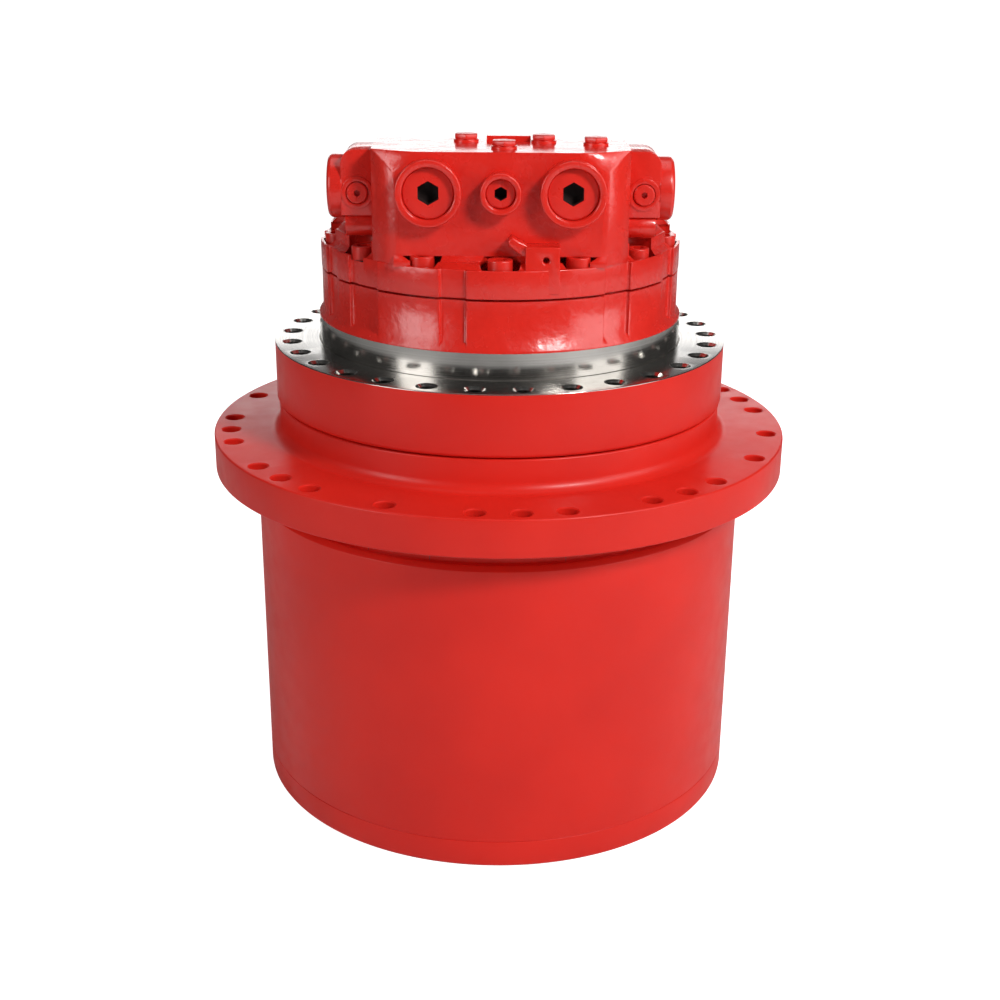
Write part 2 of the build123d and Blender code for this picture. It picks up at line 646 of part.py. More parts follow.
def sprocket_hub():
    """The hub with the sprocket flange, the turned neck and the seats of both bearings."""
    groove = DRUM_RADIUS - GROOVE_DEPTH
    body = turned(
        (BEARING_OUTER, LOWER_BEARING - EDGE_BREAK),
        (SLEEVE_RADIUS, LOWER_BEARING - EDGE_BREAK),
        (SLEEVE_RADIUS, DRUM_TOP),
        (groove, DRUM_TOP),
        (groove, FLANGE_BOTTOM),
        (FLANGE_RADIUS - EDGE_BREAK, FLANGE_BOTTOM),
        (FLANGE_RADIUS, FLANGE_BOTTOM + EDGE_BREAK),
        (FLANGE_RADIUS, FLANGE_TOP - EDGE_BREAK),
        (FLANGE_RADIUS - EDGE_BREAK, FLANGE_TOP),
        (NECK_RADIUS, FLANGE_TOP),
        (NECK_RADIUS, NECK_TOP - EDGE_BREAK),
        (NECK_RADIUS - EDGE_BREAK, NECK_TOP),
        (SEAL_BORE, NECK_TOP),
        (SEAL_BORE, NECK_TOP - SEAL_CAVITY_DEPTH),
        (BEARING_OUTER, NECK_TOP - SEAL_CAVITY_DEPTH),
        (BEARING_OUTER, UPPER_BEARING),
        (BEARING_OUTER - RIB_HEIGHT, UPPER_BEARING),
        (BEARING_OUTER - RIB_HEIGHT, RIB_BOTTOM),
        (BEARING_OUTER, RIB_BOTTOM),
    )
    body = fillet(circle_edges(body, NECK_RADIUS, FLANGE_TOP), NECK_FILLET)
    step = 360 / SPROCKET_DIVISIONS
    hole = disc(SPROCKET_HOLE_RADIUS, FLANGE_BOTTOM, FLANGE_TOP)
    hole = Pos(SPROCKET_PITCH_RADIUS, 0, 0) * hole
    cuts = [Rot(0, 0, slot * step - 90) * hole for slot in sprocket_slots()]
    tapped = disc(HOUSING_SCREW_RADIUS + RUNNING_FIT, DRUM_TOP, DRUM_TOP + SCREW_ENGAGEMENT + TAP_RUNOUT)
    cuts += around(tapped, HOUSING_SCREWS, SCREW_CIRCLE)
    return body - cuts


def cover_seal_ring():
    """The seal ring on the end of the cover's spigot, below the ring gear's teeth."""
    bottom = COVER_THICKNESS + COVER_SPIGOT_HEIGHT
    return ring(RING_ROOT - RUNNING_FIT, RING_ROOT - SEAL_CORD, bottom, bottom + SEAL_CORD)


# Main bearings, seal and ring nut

def roller_line(offset, along):
    """A point of a tapered bearing's section, beside and along the roller's axis."""
    tilt = math.radians(ROLLER_TILT)
    radius = BEARING_PITCH + offset * math.cos(tilt) + along * math.sin(tilt)
    height = -offset * math.sin(tilt) + along * math.cos(tilt)
    return radius, height


def bearing_race(edge, side):
    """A race between its seat radius and the roller track; side is +1 outside, -1 inside."""
    half = BEARING_WIDTH / 2
    track = side * (ROLLER_RADIUS + RUNNING_FIT)
    low = roller_line(track, -ROLLER_LENGTH / 2)
    high = roller_line(track, ROLLER_LENGTH / 2)
    return turned((edge, -half), (low[0], -half), low, high, (high[0], half), (edge, half))


def bearing_rollers():
    """One row of rollers, leaning with the track."""
    roller = Pos(BEARING_PITCH, 0, 0) * Rot(0, ROLLER_TILT, 0) * disc(
        ROLLER_RADIUS, -ROLLER_LENGTH / 2, ROLLER_LENGTH / 2)
    return around(roller, ROLLERS_PER_ROW)


def bearing_pair(solids):
    """The lower bearing as drawn and the upper one turned over, as a preloaded pair."""
    pair = []
    for solid in solids:
        pair.append(Pos(0, 0, UPPER_BEARING + BEARING_WIDTH / 2) * solid)
        pair.append(Pos(0, 0, LOWER_BEARING + BEARING_WIDTH / 2) * Rot(180, 0, 0) * solid)
    return pair


def ring_nut():
    """The slotted nut that sets the preload of the main bearings."""
    outer = BEARING_INNER + NUT_WALL - SEAT_GAP
    body = ring(outer, BEARING_INNER - NUT_STEP + RUNNING_FIT, NUT_BOTTOM, NUT_BOTTOM + NUT_THICKNESS)
    slot = Pos(outer, 0, NUT_BOTTOM) * Box(NUT_WALL, NUT_SLOT_WIDTH, NUT_SLOT_WIDTH)
    return body - around(slot, NUT_SLOTS)


def seal_ring(below):
    """A floating seal's metal ring; the pair meets at the middle of the running gap."""
    face = (NECK_TOP + RING_BOTTOM) / 2
    inner = SEAL_BORE - SEAL_RUBBER_WALL - SEAL_RING_WALL
    outer = SEAL_BORE - SEAL_RUBBER_WALL
    sign = -1 if below else 1
    return turned(
        (inner, face),
        (outer, face),
        (outer, face + sign * SEAL_RING_RIM),
        (outer - SEAL_RING_RIM, face + sign * SEAL_RING_HEIGHT),
        (inner, face + sign * SEAL_RING_HEIGHT),
    )


def seal_rubber(below):
    """The rubber ring that presses a floating seal ring against its mate."""
    sign = -1 if below else 1
    face = NECK_TOP if below else RING_BOTTOM
    outer = SEAL_BORE - RUNNING_FIT
    inner = SEAL_BORE - SEAL_RUBBER_WALL + RUNNING_FIT
    near = face + sign * SEAL_RING_RIM
    return ring(outer, inner, *sorted((near, near + sign * SEAL_RUBBER_HEIGHT)))


# Stationary carrier and its planets

def second_stage_carrier():
    """The fixed carrier: two plates joined by four webs between the planets."""
    web_radius = CARRIER_RADIUS - CARRIER_WEB_RADIUS - CARRIER_TO_RING
    bore = MODULE * (SUN_2_TEETH / 2 + ADDENDUM) + CARRIER_2_BORE_GAP
    lower = ring(CARRIER_RADIUS, bore, CARRIER_2_BOTTOM, CARRIER_2_BOTTOM + CARRIER_2_LOWER)
    upper = ring(CARRIER_RADIUS, bore, CARRIER_2_PLATE, SPINDLE_END)
    web = disc(CARRIER_WEB_RADIUS, CARRIER_2_BOTTOM, SPINDLE_END)
    body = lower + upper + around(web, PLANETS_2, web_radius, 180 / PLANETS_2)
    pin_hole = disc(PIN_2_RADIUS + RUNNING_FIT / 5, CARRIER_2_BOTTOM, SPINDLE_END)
    screw_hole = disc(CARRIER_SCREW_RADIUS + SCREW_HOLE_GAP, CARRIER_2_BOTTOM, SPINDLE_END)
    head_hole = disc(1.5 * CARRIER_SCREW_RADIUS + SCREW_HOLE_GAP, CARRIER_2_BOTTOM, carrier_screw_seat())
    cuts = around(pin_hole, PLANETS_2, CENTRE_2)
    cuts += around(screw_hole + head_hole, PLANETS_2, carrier_screw_circle(), 180 / PLANETS_2)
    return body - cuts


def carrier_screw_circle():
    """The carrier screws meet the middle of the spindle's end face."""
    return (BEARING_INNER + CAVITY_RADIUS) / 2


def carrier_screw_seat():
    """The height of the seats of the carrier screws, deep inside the webs."""
    return SPINDLE_END - CARRIER_SCREW_GRIP


def carrier_screws():
    """The screws that hold the fixed carrier to the end of the motor housing."""
    length = CARRIER_SCREW_GRIP + SCREW_ENGAGEMENT
    screw = socket_screw(CARRIER_SCREW_RADIUS, length, 2 * CARRIER_SCREW_RADIUS, carrier_screw_seat())
    return around(screw, PLANETS_2, carrier_screw_circle(), 180 / PLANETS_2)


def first_stage_carrier():
    """The rotating carrier: a plate that holds three pins and drives the second sun."""
    outer = CARRIER_RADIUS - CARRIER_1_INSET
    lobes = [home * Circle(PIN_1_RADIUS + CARRIER_1_LOBE) for home in PolarLocations(CENTRE_1, PLANETS_1)]
    hub = Circle(MODULE * SUN_2_TEETH / 2 + CARRIER_1_HUB)
    outline = (hub + lobes) & Circle(outer)
    outline -= [home * Circle(PIN_1_RADIUS + RUNNING_FIT / 5) for home in PolarLocations(CENTRE_1, PLANETS_1)]
    outline -= spline_opening()
    return Pos(0, 0, CARRIER_1_BOTTOM) * extrude(outline, CARRIER_1_THICKNESS)


def spline_opening():
    """The internal toothing that takes the lower end of the second sun."""
    root = MODULE * (SUN_2_TEETH / 2 - DEDENDUM) + SEAT_GAP
    tip = MODULE * (SUN_2_TEETH / 2 + ADDENDUM) + SEAT_GAP
    return tooth_outline(SUN_2_TEETH, root, tip, -GEAR_BACKLASH / 2, 0.0)


def second_stage_sun():
    """The second sun: one long pinion, hollow for the first sun's shaft."""
    bore = SUN_SHAFT_RADIUS + SUN_BORE_GAP
    length = PLANET_2_TOP - CARRIER_1_BOTTOM
    return Pos(0, 0, CARRIER_1_BOTTOM) * extrude(gear_outline(SUN_2_TEETH) - Circle(bore), length)


def planet_pins(centre, radius, planets, bottom, top):
    """The planet pins of a stage."""
    return around(disc(radius, bottom, top), planets, centre)


def first_stage_sun():
    """The first sun with its long shaft up into the motor shaft."""
    outline = gear_outline(SUN_1_TEETH, sun_phase(PLANET_1_TEETH))
    toothed = Pos(0, 0, PLANET_1_BOTTOM) * extrude(outline, FACE_WIDTH_1)
    foot = PLANET_1_BOTTOM - WASHER_SPACE + SEAT_GAP
    collar = disc(SUN_SHAFT_RADIUS + SUN_COLLAR, PLANET_1_TOP, CARRIER_1_BOTTOM - SEAT_GAP)
    shaft = disc(SUN_SHAFT_RADIUS, foot, coupling_bottom() + SHAFT_COUPLING_LENGTH - COUPLING_END)
    return toothed + collar + shaft


# Motor

def coupling_bottom():
    """The lower end of the motor shaft, inside the floor of the motor housing."""
    return SPINDLE_END + COUPLING_RISE


def shaft_bearing_bottom():
    """The front shaft bearing stands above the shaft seal in the floor."""
    return CAVITY_FLOOR - SHAFT_BEARING_WIDTH - EDGE_BREAK


def motor_shaft():
    """The motor shaft, hollow below where it drives the first sun's shaft."""
    coupling_top = coupling_bottom() + SHAFT_COUPLING_LENGTH
    rear = rear_bearing_bottom()
    body = turned(
        (0, coupling_bottom()),
        (SHAFT_COUPLING_RADIUS, coupling_bottom()),
        (SHAFT_COUPLING_RADIUS, coupling_top),
        (SHAFT_RADIUS, coupling_top + COUPLING_RISE),
        (SHAFT_RADIUS, BLOCK_CYL_TOP),
        (SHAFT_TAIL_RADIUS, BLOCK_CYL_TOP),
        (SHAFT_TAIL_RADIUS, rear + SHAFT_BEARING_WIDTH),
        (0, rear + SHAFT_BEARING_WIDTH),
    )
    bore_top = coupling_top - COUPLING_END + SEAT_GAP
    return body - disc(SUN_SHAFT_RADIUS + RUNNING_FIT, coupling_bottom(), bore_top)


def rear_bearing_bottom():
    """The rear shaft bearing sits in the rear cover above the valve plate."""
    return PORT_PLATE_TOP + REAR_BEARING_RISE


def shaft_bearing(inner, section, bottom):
    """The inner ring, outer ring and rollers of a plain roller bearing on the shaft."""
    wall = section * 0.3
    outer = inner + section
    roller_radius = (section - 2 * wall) / 2 - RUNNING_FIT
    top = bottom + SHAFT_BEARING_WIDTH
    inner_ring = ring(inner + wall, inner + RUNNING_FIT / 5, bottom, top)
    outer_ring = ring(outer, outer - wall, bottom, top)
    rollers = around(disc(roller_radius, bottom + 3.0, top - 3.0), SHAFT_BEARING_ROLLERS, (inner + outer) / 2)
    return inner_ring, outer_ring, rollers


def front_bearing():
    """The bearing in the floor of the motor housing."""
    return shaft_bearing(SHAFT_COUPLING_RADIUS, SHAFT_BEARING_SECTION, shaft_bearing_bottom())


def rear_bearing():
    """The bearing in the rear cover."""
    return shaft_bearing(SHAFT_TAIL_RADIUS, REAR_BEARING_SECTION, rear_bearing_bottom())


def shaft_seal():
    """The lip seal that keeps gear oil and motor oil apart."""
    outer = SHAFT_COUPLING_RADIUS + SHAFT_BEARING_SECTION - SHAFT_SEAL_SHOULDER
    bottom = shaft_bearing_bottom() - SHAFT_SEAL_HEIGHT
    inner = SHAFT_COUPLING_RADIUS + RUNNING_FIT
    return turned(
        (inner, bottom + 2.0),
        (inner + 3.0, bottom),
        (outer, bottom),
        (outer, bottom + SHAFT_SEAL_HEIGHT - EDGE_BREAK),
        (outer - 3.0, bottom + SHAFT_SEAL_HEIGHT - EDGE_BREAK),
        (outer - 5.0, bottom + 3.0),
        (inner, bottom + 5.0),
    )


def swash_frame():
    """The tilted frame of the swash plate; its X axis is the pivot."""
    return Pos(0, 0, PIVOT_Z) * Rot(SWASH_ANGLE, 0, 0)


def pivot_rollers(radius, length):
    """Two round bars along X at the places of the pivots, about the swash plate's axis."""
    bar = Pos(-length / 2, 0, 0) * Rot(0, 90, 0) * disc(radius, 0, length)
    return [Pos(side * PIVOT_OFFSET, 0, 0) * bar for side in (-1, 1)]


def swash_pivots():
    """The two pivot rollers, half in the floor's pads and half in the swash plate."""
    return [Pos(0, 0, PIVOT_Z) * roller for roller in pivot_rollers(PIVOT_RADIUS, PIVOT_LENGTH)]


def pivot_grooves():
    """Cutters for the half-round seats of the pivot rollers."""
    return pivot_rollers(PIVOT_RADIUS + RUNNING_FIT, PIVOT_LENGTH + 2 * EDGE_BREAK)


def swash_plate():
    """The swash plate: a thick disc with the sliding face, grooved for its pivots."""
    plate = turned(
        (SWASH_BORE, PIVOT_TO_BACK),
        (SWASH_RADIUS - 6.0, PIVOT_TO_BACK),
        (SWASH_RADIUS, PIVOT_TO_BACK + 6.0),
        (SWASH_RADIUS, PIVOT_TO_BACK + SWASH_THICKNESS),
        (SWASH_BORE, PIVOT_TO_BACK + SWASH_THICKNESS),
    )
    return swash_frame() * (plate - pivot_grooves())


def tilt_piston_top():
    """The height where the tilt piston meets the back of the swash plate."""
    drop = (TILT_PISTON_OFFSET + TILT_PISTON_TIP) * math.tan(SWASH_TILT)
    return PIVOT_Z + PIVOT_TO_BACK / math.cos(SWASH_TILT) - drop - SEAT_GAP


def tilt_piston():
    """The two-speed piston that pushes the swash plate to its small angle."""
    top = tilt_piston_top()
    body = turned(
        (0, top - TILT_PISTON_LENGTH),
        (TILT_PISTON_RADIUS, top - TILT_PISTON_LENGTH),
        (TILT_PISTON_RADIUS, top - 4.0),
        (TILT_PISTON_TIP, top),
        (0, top),
    )
    return Pos(0, -TILT_PISTON_OFFSET, 0) * body


def cylinder_block():
    """The cylinder block with nine bores and its hole for the shaft."""
    body = ring(BLOCK_RADIUS, SHAFT_RADIUS + RUNNING_FIT, BLOCK_BOTTOM, BLOCK_CYL_TOP)
    bore = disc(PISTON_RADIUS, BLOCK_BOTTOM, BLOCK_CYL_TOP - CYLINDER_HEAD)
    return body - around(bore, PISTONS, PISTON_PITCH_RADIUS)


def pistons():
    """Nine pistons with their necks down into the shoes."""
    body = turned(
        (0, SHOE_TOP - SHOE_SOCKET_DEPTH),
        (PISTON_NECK_RADIUS, SHOE_TOP - SHOE_SOCKET_DEPTH),
        (PISTON_NECK_RADIUS, BLOCK_BOTTOM - PISTON_TAPER),
        (PISTON_RADIUS - RUNNING_FIT, BLOCK_BOTTOM + PISTON_TAPER),
        (PISTON_RADIUS - RUNNING_FIT, BLOCK_BOTTOM + PISTON_BODY_LENGTH),
        (0, BLOCK_BOTTOM + PISTON_BODY_LENGTH),
    )
    return around(body, PISTONS, PISTON_PITCH_RADIUS)


def piston_shoes():
    """Nine bronze shoes, each with a flat foot and a socket for its piston."""
    body = turned(
        (0, SHOE_BOTTOM),
        (SHOE_FOOT_RADIUS, SHOE_BOTTOM),
        (SHOE_FOOT_RADIUS, SHOE_BOTTOM + SHOE_FLANGE),
        (SHOE_NECK_RADIUS, SHOE_BOTTOM + SHOE_FLANGE),
        (SHOE_NECK_RADIUS, SHOE_TOP),
        (PISTON_NECK_RADIUS + RUNNING_FIT, SHOE_TOP),
        (PISTON_NECK_RADIUS + RUNNING_FIT, SHOE_TOP - SHOE_SOCKET_DEPTH),
        (0, SHOE_TOP - SHOE_SOCKET_DEPTH),
    )
    return around(body, PISTONS, PISTON_PITCH_RADIUS)


def retainer_plate():
    """The plate that holds the nine shoes down."""
    bottom = SHOE_BOTTOM + SHOE_FLANGE + RUNNING_FIT
    top = bottom + RETAINER_THICKNESS
    outer = PISTON_PITCH_RADIUS + PISTON_RADIUS + RETAINER_EDGE
    plate = ring(outer, SHAFT_RADIUS + 2 * RETAINER_EDGE, bottom, top)
    hole = disc(SHOE_NECK_RADIUS + SEAT_GAP, bottom, top)
    return plate - around(hole, PISTONS, PISTON_PITCH_RADIUS)


def brake_discs(first, count, inner, outer):
    """Every second disc of the brake stack, from a place in the stack."""
    discs = []
    for place in range(count):
        bottom = BRAKE_LEDGE + (first + 2 * place) * DISC_THICKNESS
        discs.append(ring(outer, inner, bottom, bottom + DISC_THICKNESS))
    return discs


def brake_piston():
    """The ring piston that is pressed down by the spring and lifted by oil."""
    inner = REAR_BOSS_RADIUS + SEAT_GAP
    step = (BRAKE_PISTON_BOTTOM + BRAKE_PISTON_TOP) / 2
    return turned(
        (inner + 4.0, BRAKE_PISTON_BOTTOM),
        (BRAKE_DISC_OUTER - 1.0, BRAKE_PISTON_BOTTOM),
        (BRAKE_DISC_OUTER - 1.0, step),
        (BRAKE_BORE - RUNNING_FIT, step),
        (BRAKE_BORE - RUNNING_FIT, BRAKE_PISTON_TOP),
        (inner, BRAKE_PISTON_TOP),
        (inner, step),
        (inner + 4.0, step - 4.0),
    )


def brake_spring():
    """The dished spring between the brake piston and the rear cover."""
    inner = REAR_BOSS_RADIUS + 4.0
    outer = BRAKE_BORE - 4.0
    top = SPRING_SEAT - RUNNING_FIT
    bottom = BRAKE_PISTON_TOP + RUNNING_FIT
    return turned(
        (outer, bottom),
        (outer, bottom + DISC_SPRING_THICKNESS),
        (inner, top),
        (inner, top - DISC_SPRING_THICKNESS),
    )


def valve_plate():
    """The valve plate with two kidney ports."""
    bottom = PORT_PLATE_TOP - VALVE_PLATE_THICKNESS
    outline = Circle(BLOCK_RADIUS - VALVE_PLATE_THICKNESS) - Circle(SHAFT_TAIL_RADIUS + SHAFT_TAIL_GAP)
    half = PISTON_RADIUS * 0.55
    kidney = Circle(PISTON_PITCH_RADIUS + half) - Circle(PISTON_PITCH_RADIUS - half)
    kidney -= Rectangle(4 * PISTON_RADIUS, 2 * BLOCK_RADIUS)
    return Pos(0, 0, bottom) * extrude(outline - kidney, VALVE_PLATE_THICKNESS)


# Stationary motor housing

def lobed_outline(base, lobe, half_angle):
    """A round casing outline with one raised lobe at each casing bolt."""
    reach = 1.5 * lobe
    side = reach * math.tan(math.radians(half_angle))
    wedge = make_face(Polyline((0, 0), (reach, -side), (reach, side), close=True))
    lobes = [Rot(0, 0, place * 360 / CASING_BOLTS - 90) * wedge for place in range(CASING_BOLTS)]
    raised = lobes[0]
    for other in lobes[1:]:
        raised += other
    return Circle(base) + (raised & Circle(lobe))


def motor_housing():
    """The stationary casting: bearing spindle, frame ring, pilot and lobed motor casing."""
    nut_seat = BEARING_INNER - NUT_STEP
    groove_floor = RING_BOTTOM + SEAL_CAVITY_DEPTH - SEAL_BORE_STEP / 2
    body = turned(
        (CAVITY_RADIUS, SPINDLE_END),
        (nut_seat, SPINDLE_END),
        (nut_seat, LOWER_BEARING - NUT_BELOW_BEARING),
        (BEARING_INNER, LOWER_BEARING - NUT_BELOW_BEARING),
        (BEARING_INNER, UPPER_BEARING_TOP),
        (SEAL_SHOULDER, UPPER_BEARING_TOP),
        (SEAL_SHOULDER, groove_floor),
        (SEAL_BORE, groove_floor),
        (SEAL_BORE, RING_BOTTOM),
        (FRAME_RING_RADIUS - 2 * EDGE_BREAK, RING_BOTTOM),
        (FRAME_RING_RADIUS, RING_BOTTOM + 2 * EDGE_BREAK),
        (FRAME_RING_RADIUS, RING_TOP - EDGE_BREAK / 2),
        (FRAME_RING_RADIUS - EDGE_BREAK / 2, RING_TOP),
        (PILOT_RADIUS, RING_TOP),
        (PILOT_RADIUS, PILOT_TOP),
        (CAVITY_RADIUS, PILOT_TOP),
    )
    floor_hole = SHAFT_COUPLING_RADIUS + SHAFT_BEARING_SECTION
    seal_bottom = shaft_bearing_bottom() - SHAFT_SEAL_HEIGHT
    floor = turned(
        (floor_hole - SHAFT_SEAL_SHOULDER + RUNNING_FIT, seal_bottom),
        (floor_hole - FLOOR_LIP, seal_bottom),
        (floor_hole - FLOOR_LIP, SPINDLE_END),
        (CAVITY_RADIUS + 1.0, SPINDLE_END),
        (CAVITY_RADIUS + 1.0, CAVITY_FLOOR),
        (floor_hole + RUNNING_FIT / 5, CAVITY_FLOOR),
        (floor_hole + RUNNING_FIT / 5, shaft_bearing_bottom()),
        (floor_hole - SHAFT_SEAL_SHOULDER + RUNNING_FIT, shaft_bearing_bottom()),
    )
    lobes = lobed_outline(CASING_RADIUS, LOBE_RADIUS, LOBE_HALF_ANGLE)
    casing = Pos(0, 0, PILOT_TOP + EDGE_BREAK) * extrude(lobes, CASING_HEIGHT - EDGE_BREAK)
    lip = turned(
        (0, PILOT_TOP),
        (PILOT_RADIUS, PILOT_TOP),
        (PILOT_RADIUS, PILOT_TOP + EDGE_BREAK),
        (CASING_RADIUS, PILOT_TOP + LIP_HEIGHT),
        (0, PILOT_TOP + LIP_HEIGHT),
    )
    upper = casing + lip - disc(BRAKE_BORE, PILOT_TOP, CASING_TOP)
    pads = []
    for side in (-1, 1):
        pad = extrude(Rectangle(PIVOT_LENGTH, 3 * PIVOT_RADIUS), PIVOT_HEIGHT - EDGE_BREAK)
        pads.append(Pos(side * PIVOT_OFFSET, 0, CAVITY_FLOOR) * pad)
    frame_hole = disc(FRAME_HOLE_RADIUS, RING_TOP - FRAME_HOLE_DEPTH, RING_TOP)
    sink_depth = FRAME_HOLE_SINK - FRAME_HOLE_RADIUS
    sink = Pos(0, 0, RING_TOP - sink_depth) * Cone(
        FRAME_HOLE_RADIUS, FRAME_HOLE_SINK, sink_depth, align=(Align.CENTER, Align.CENTER, Align.MIN))
    cuts = [disc(BRAKE_BORE, BRAKE_LEDGE, PILOT_TOP)]
    cuts += around(frame_hole + sink, FRAME_HOLES, FRAME_HOLE_PITCH_RADIUS)
    tap_end = CASING_TOP - CASING_BOLT_ENGAGEMENT - TAP_RUNOUT
    tapped = disc(CASING_BOLT_RADIUS + RUNNING_FIT, tap_end, CASING_TOP)
    cuts += around(tapped, CASING_BOLTS, CASING_BOLT_CIRCLE, CASING_BOLT_START)
    tap_end = SPINDLE_END + SCREW_ENGAGEMENT + TAP_RUNOUT
    carrier_tap = disc(CARRIER_SCREW_RADIUS + RUNNING_FIT, SPINDLE_END, tap_end)
    cuts += around(carrier_tap, PLANETS_2, carrier_screw_circle(), 180 / PLANETS_2)
    cuts += [Pos(0, 0, PIVOT_Z) * groove for groove in pivot_grooves()]
    top = tilt_piston_top()
    cuts.append(Pos(0, -TILT_PISTON_OFFSET, 0) * disc(
        TILT_PISTON_RADIUS + RUNNING_FIT, top - TILT_PISTON_LENGTH - SEAT_GAP, CAVITY_FLOOR + 1.0))
    return body + floor + upper + pads - cuts


# Rear cover and valve block

def block_outline():
    """The valve block's plan: a flat front face between two cast corner bevels."""
    front = FRONT_FACE_WIDTH / 2
    corner = BLOCK_FRONT + CORNER_CHAMFER
    return make_face(Polyline(
        (-front, BLOCK_FRONT),
        (front, BLOCK_FRONT),
        (BLOCK_HALF_WIDTH, corner),
        (BLOCK_HALF_WIDTH, BLOCK_BACK),
        (-BLOCK_HALF_WIDTH, BLOCK_BACK),
        (-BLOCK_HALF_WIDTH, corner),
        close=True,
    ))


def wing(side):
    """One side wing over the spool end, rounded above, with a round boss below."""
    bottom = WING_TOP - WING_HEIGHT
    start = BLOCK_HALF_WIDTH - 1.0
    outline = Rectangle(WING_END - start, WING_DEPTH)
    middle = side * (WING_END + start) / 2
    body = Pos(middle, SPOOL_Y, bottom) * extrude(outline, WING_HEIGHT)
    edges = body.edges().filter_by(Axis.Y).group_by(Axis.Z)[-1].sort_by(Axis.X)
    body = fillet(edges[-1] if side > 0 else edges[0], WING_CORNER)
    boss = facing_side(disc(LOWER_BOSS_RADIUS, 0, WING_END - start - 2.0), side, start,
                       WING_FRONT + LOWER_BOSS_RADIUS, REAR_FLANGE_TOP + LOWER_BOSS_HEIGHT)
    body += facing_front(disc(WING_BOSS_RADIUS, -EDGE_BREAK, WING_BOSS_RISE), side * wing_plug_places()[1],
                         WING_FRONT, wing_plug_z())
    return body + boss


def casing_bolt_pockets(top):
    """Round pockets for the casing bolts' heads, from the sunk seats up to a height."""
    radius = 1.5 * CASING_BOLT_RADIUS + BOLT_POCKET_GAP
    within = Circle(LOBE_RADIUS - BOLT_POCKET_RIM)
    outline = Pos(CASING_BOLT_CIRCLE, 0) * Circle(radius) & within
    pocket = Pos(0, 0, REAR_FLANGE_TOP - BOLT_SEAT_SINK) * extrude(
        outline, top - REAR_FLANGE_TOP + BOLT_SEAT_SINK)
    return around(pocket, CASING_BOLTS, 0, CASING_BOLT_START)


def rear_dome():
    """The cast shoulder and dome behind the valve block."""
    base = CASING_RADIUS - CURB_SETBACK - EDGE_BREAK
    shoulder = base - DOME_SHOULDER
    return turned(
        (0, CURB_TOP - EDGE_BREAK),
        (base, CURB_TOP - EDGE_BREAK),
        (base - DOME_SHOULDER / 3, CURB_TOP + DOME_SHOULDER / 3),
        (shoulder, CURB_TOP + DOME_SHOULDER / 2),
        (shoulder - DOME_INSET, DOME_TOP),
        (0, DOME_TOP),
    )


def port_places():
    """The big ports' sides of the block, seen from the front."""
    return (-PORT_SPACING / 2, PORT_SPACING / 2)


def relief_places():
    """The two relief valves stand upright on the dome, behind the block."""
    back = BLOCK_BACK + RELIEF_BEHIND_BLOCK
    return [Pos(side * RELIEF_SPACING / 2, back, DOME_TOP) for side in (-1, 1)]


def front_box(half_width, back, bottom, top):
    """A box from outside the rim back to a depth, as wide to the left as to the right."""
    rim = LOBE_RADIUS + CORNER_CHAMFER
    return Pos(0, (back - rim) / 2, bottom) * extrude(Rectangle(2 * half_width, back + rim), top - bottom)


def cover_base():
    """The flange, the curb and the domed shoulder, open above the bolts and low in front of the block."""
    outline = lobed_outline(CASING_RADIUS + EDGE_BREAK / 3, LOBE_RADIUS + EDGE_BREAK / 3, LOBE_HALF_ANGLE)
    flange = Pos(0, 0, CASING_TOP) * extrude(outline, REAR_FLANGE_THICKNESS)
    curb = turned(
        (0, REAR_FLANGE_TOP),
        (CASING_RADIUS, REAR_FLANGE_TOP),
        (CASING_RADIUS - CURB_SETBACK, REAR_FLANGE_TOP + CURB_SLOPE),
        (CASING_RADIUS - CURB_SETBACK, CURB_TOP),
        (0, CURB_TOP),
    )
    above = CURB_TOP + DOME_HEIGHT
    dome = rear_dome() - front_box(WING_END, BLOCK_BACK, CURB_TOP, above)
    ledge = front_box(BLOCK_HALF_WIDTH, BLOCK_BACK, REAR_FLANGE_TOP + FRONT_LEDGE_RISE, above)
    return flange + curb + dome - ledge - casing_bolt_pockets(above)


def corner_cut(side):
    """What is cut from an upper front corner of the block, so that it rounds about the port as a cone."""
    port = PORT_SPACING / 2
    reach = math.hypot(BLOCK_HALF_WIDTH - port, BLOCK_TOP - PORT_Z)
    width = BLOCK_HALF_WIDTH - port + EDGE_BREAK
    outline = Pos(side * (port + width / 2), BLOCK_FRONT + CORNER_CHAMFER / 2) * Rectangle(
        width, CORNER_CHAMFER + 2 * EDGE_BREAK)
    corner = Pos(0, 0, PORT_Z) * extrude(outline, BLOCK_TOP - PORT_Z + EDGE_BREAK)
    cone = turned(
        (0, -CORNER_CHAMFER - EDGE_BREAK),
        (reach + EDGE_BREAK, -CORNER_CHAMFER - EDGE_BREAK),
        (reach, -CORNER_CHAMFER),
        (PORT_SHOULDER_RADIUS, 0),
        (PORT_SHOULDER_RADIUS, EDGE_BREAK),
        (0, EDGE_BREAK),
    )
    return corner - facing_front(cone, side * port, BLOCK_FRONT, PORT_Z)


def block_foot():
    """The sloped foot along the block's front, down to the ledge."""
    ledge = REAR_FLANGE_TOP + FRONT_LEDGE_RISE
    outline = make_face(Polyline(
        (BLOCK_FRONT, REAR_FLANGE_TOP),
        (BLOCK_FRONT - BLOCK_FOOT, REAR_FLANGE_TOP),
        (BLOCK_FRONT - BLOCK_FOOT, ledge),
        (BLOCK_FRONT, ledge + BLOCK_FOOT),
        close=True,
    ))
    return Pos(-FRONT_FACE_WIDTH / 2, 0, 0) * Rot(0, 0, 90) * Rot(90, 0, 0) * extrude(
        outline, FRONT_FACE_WIDTH)


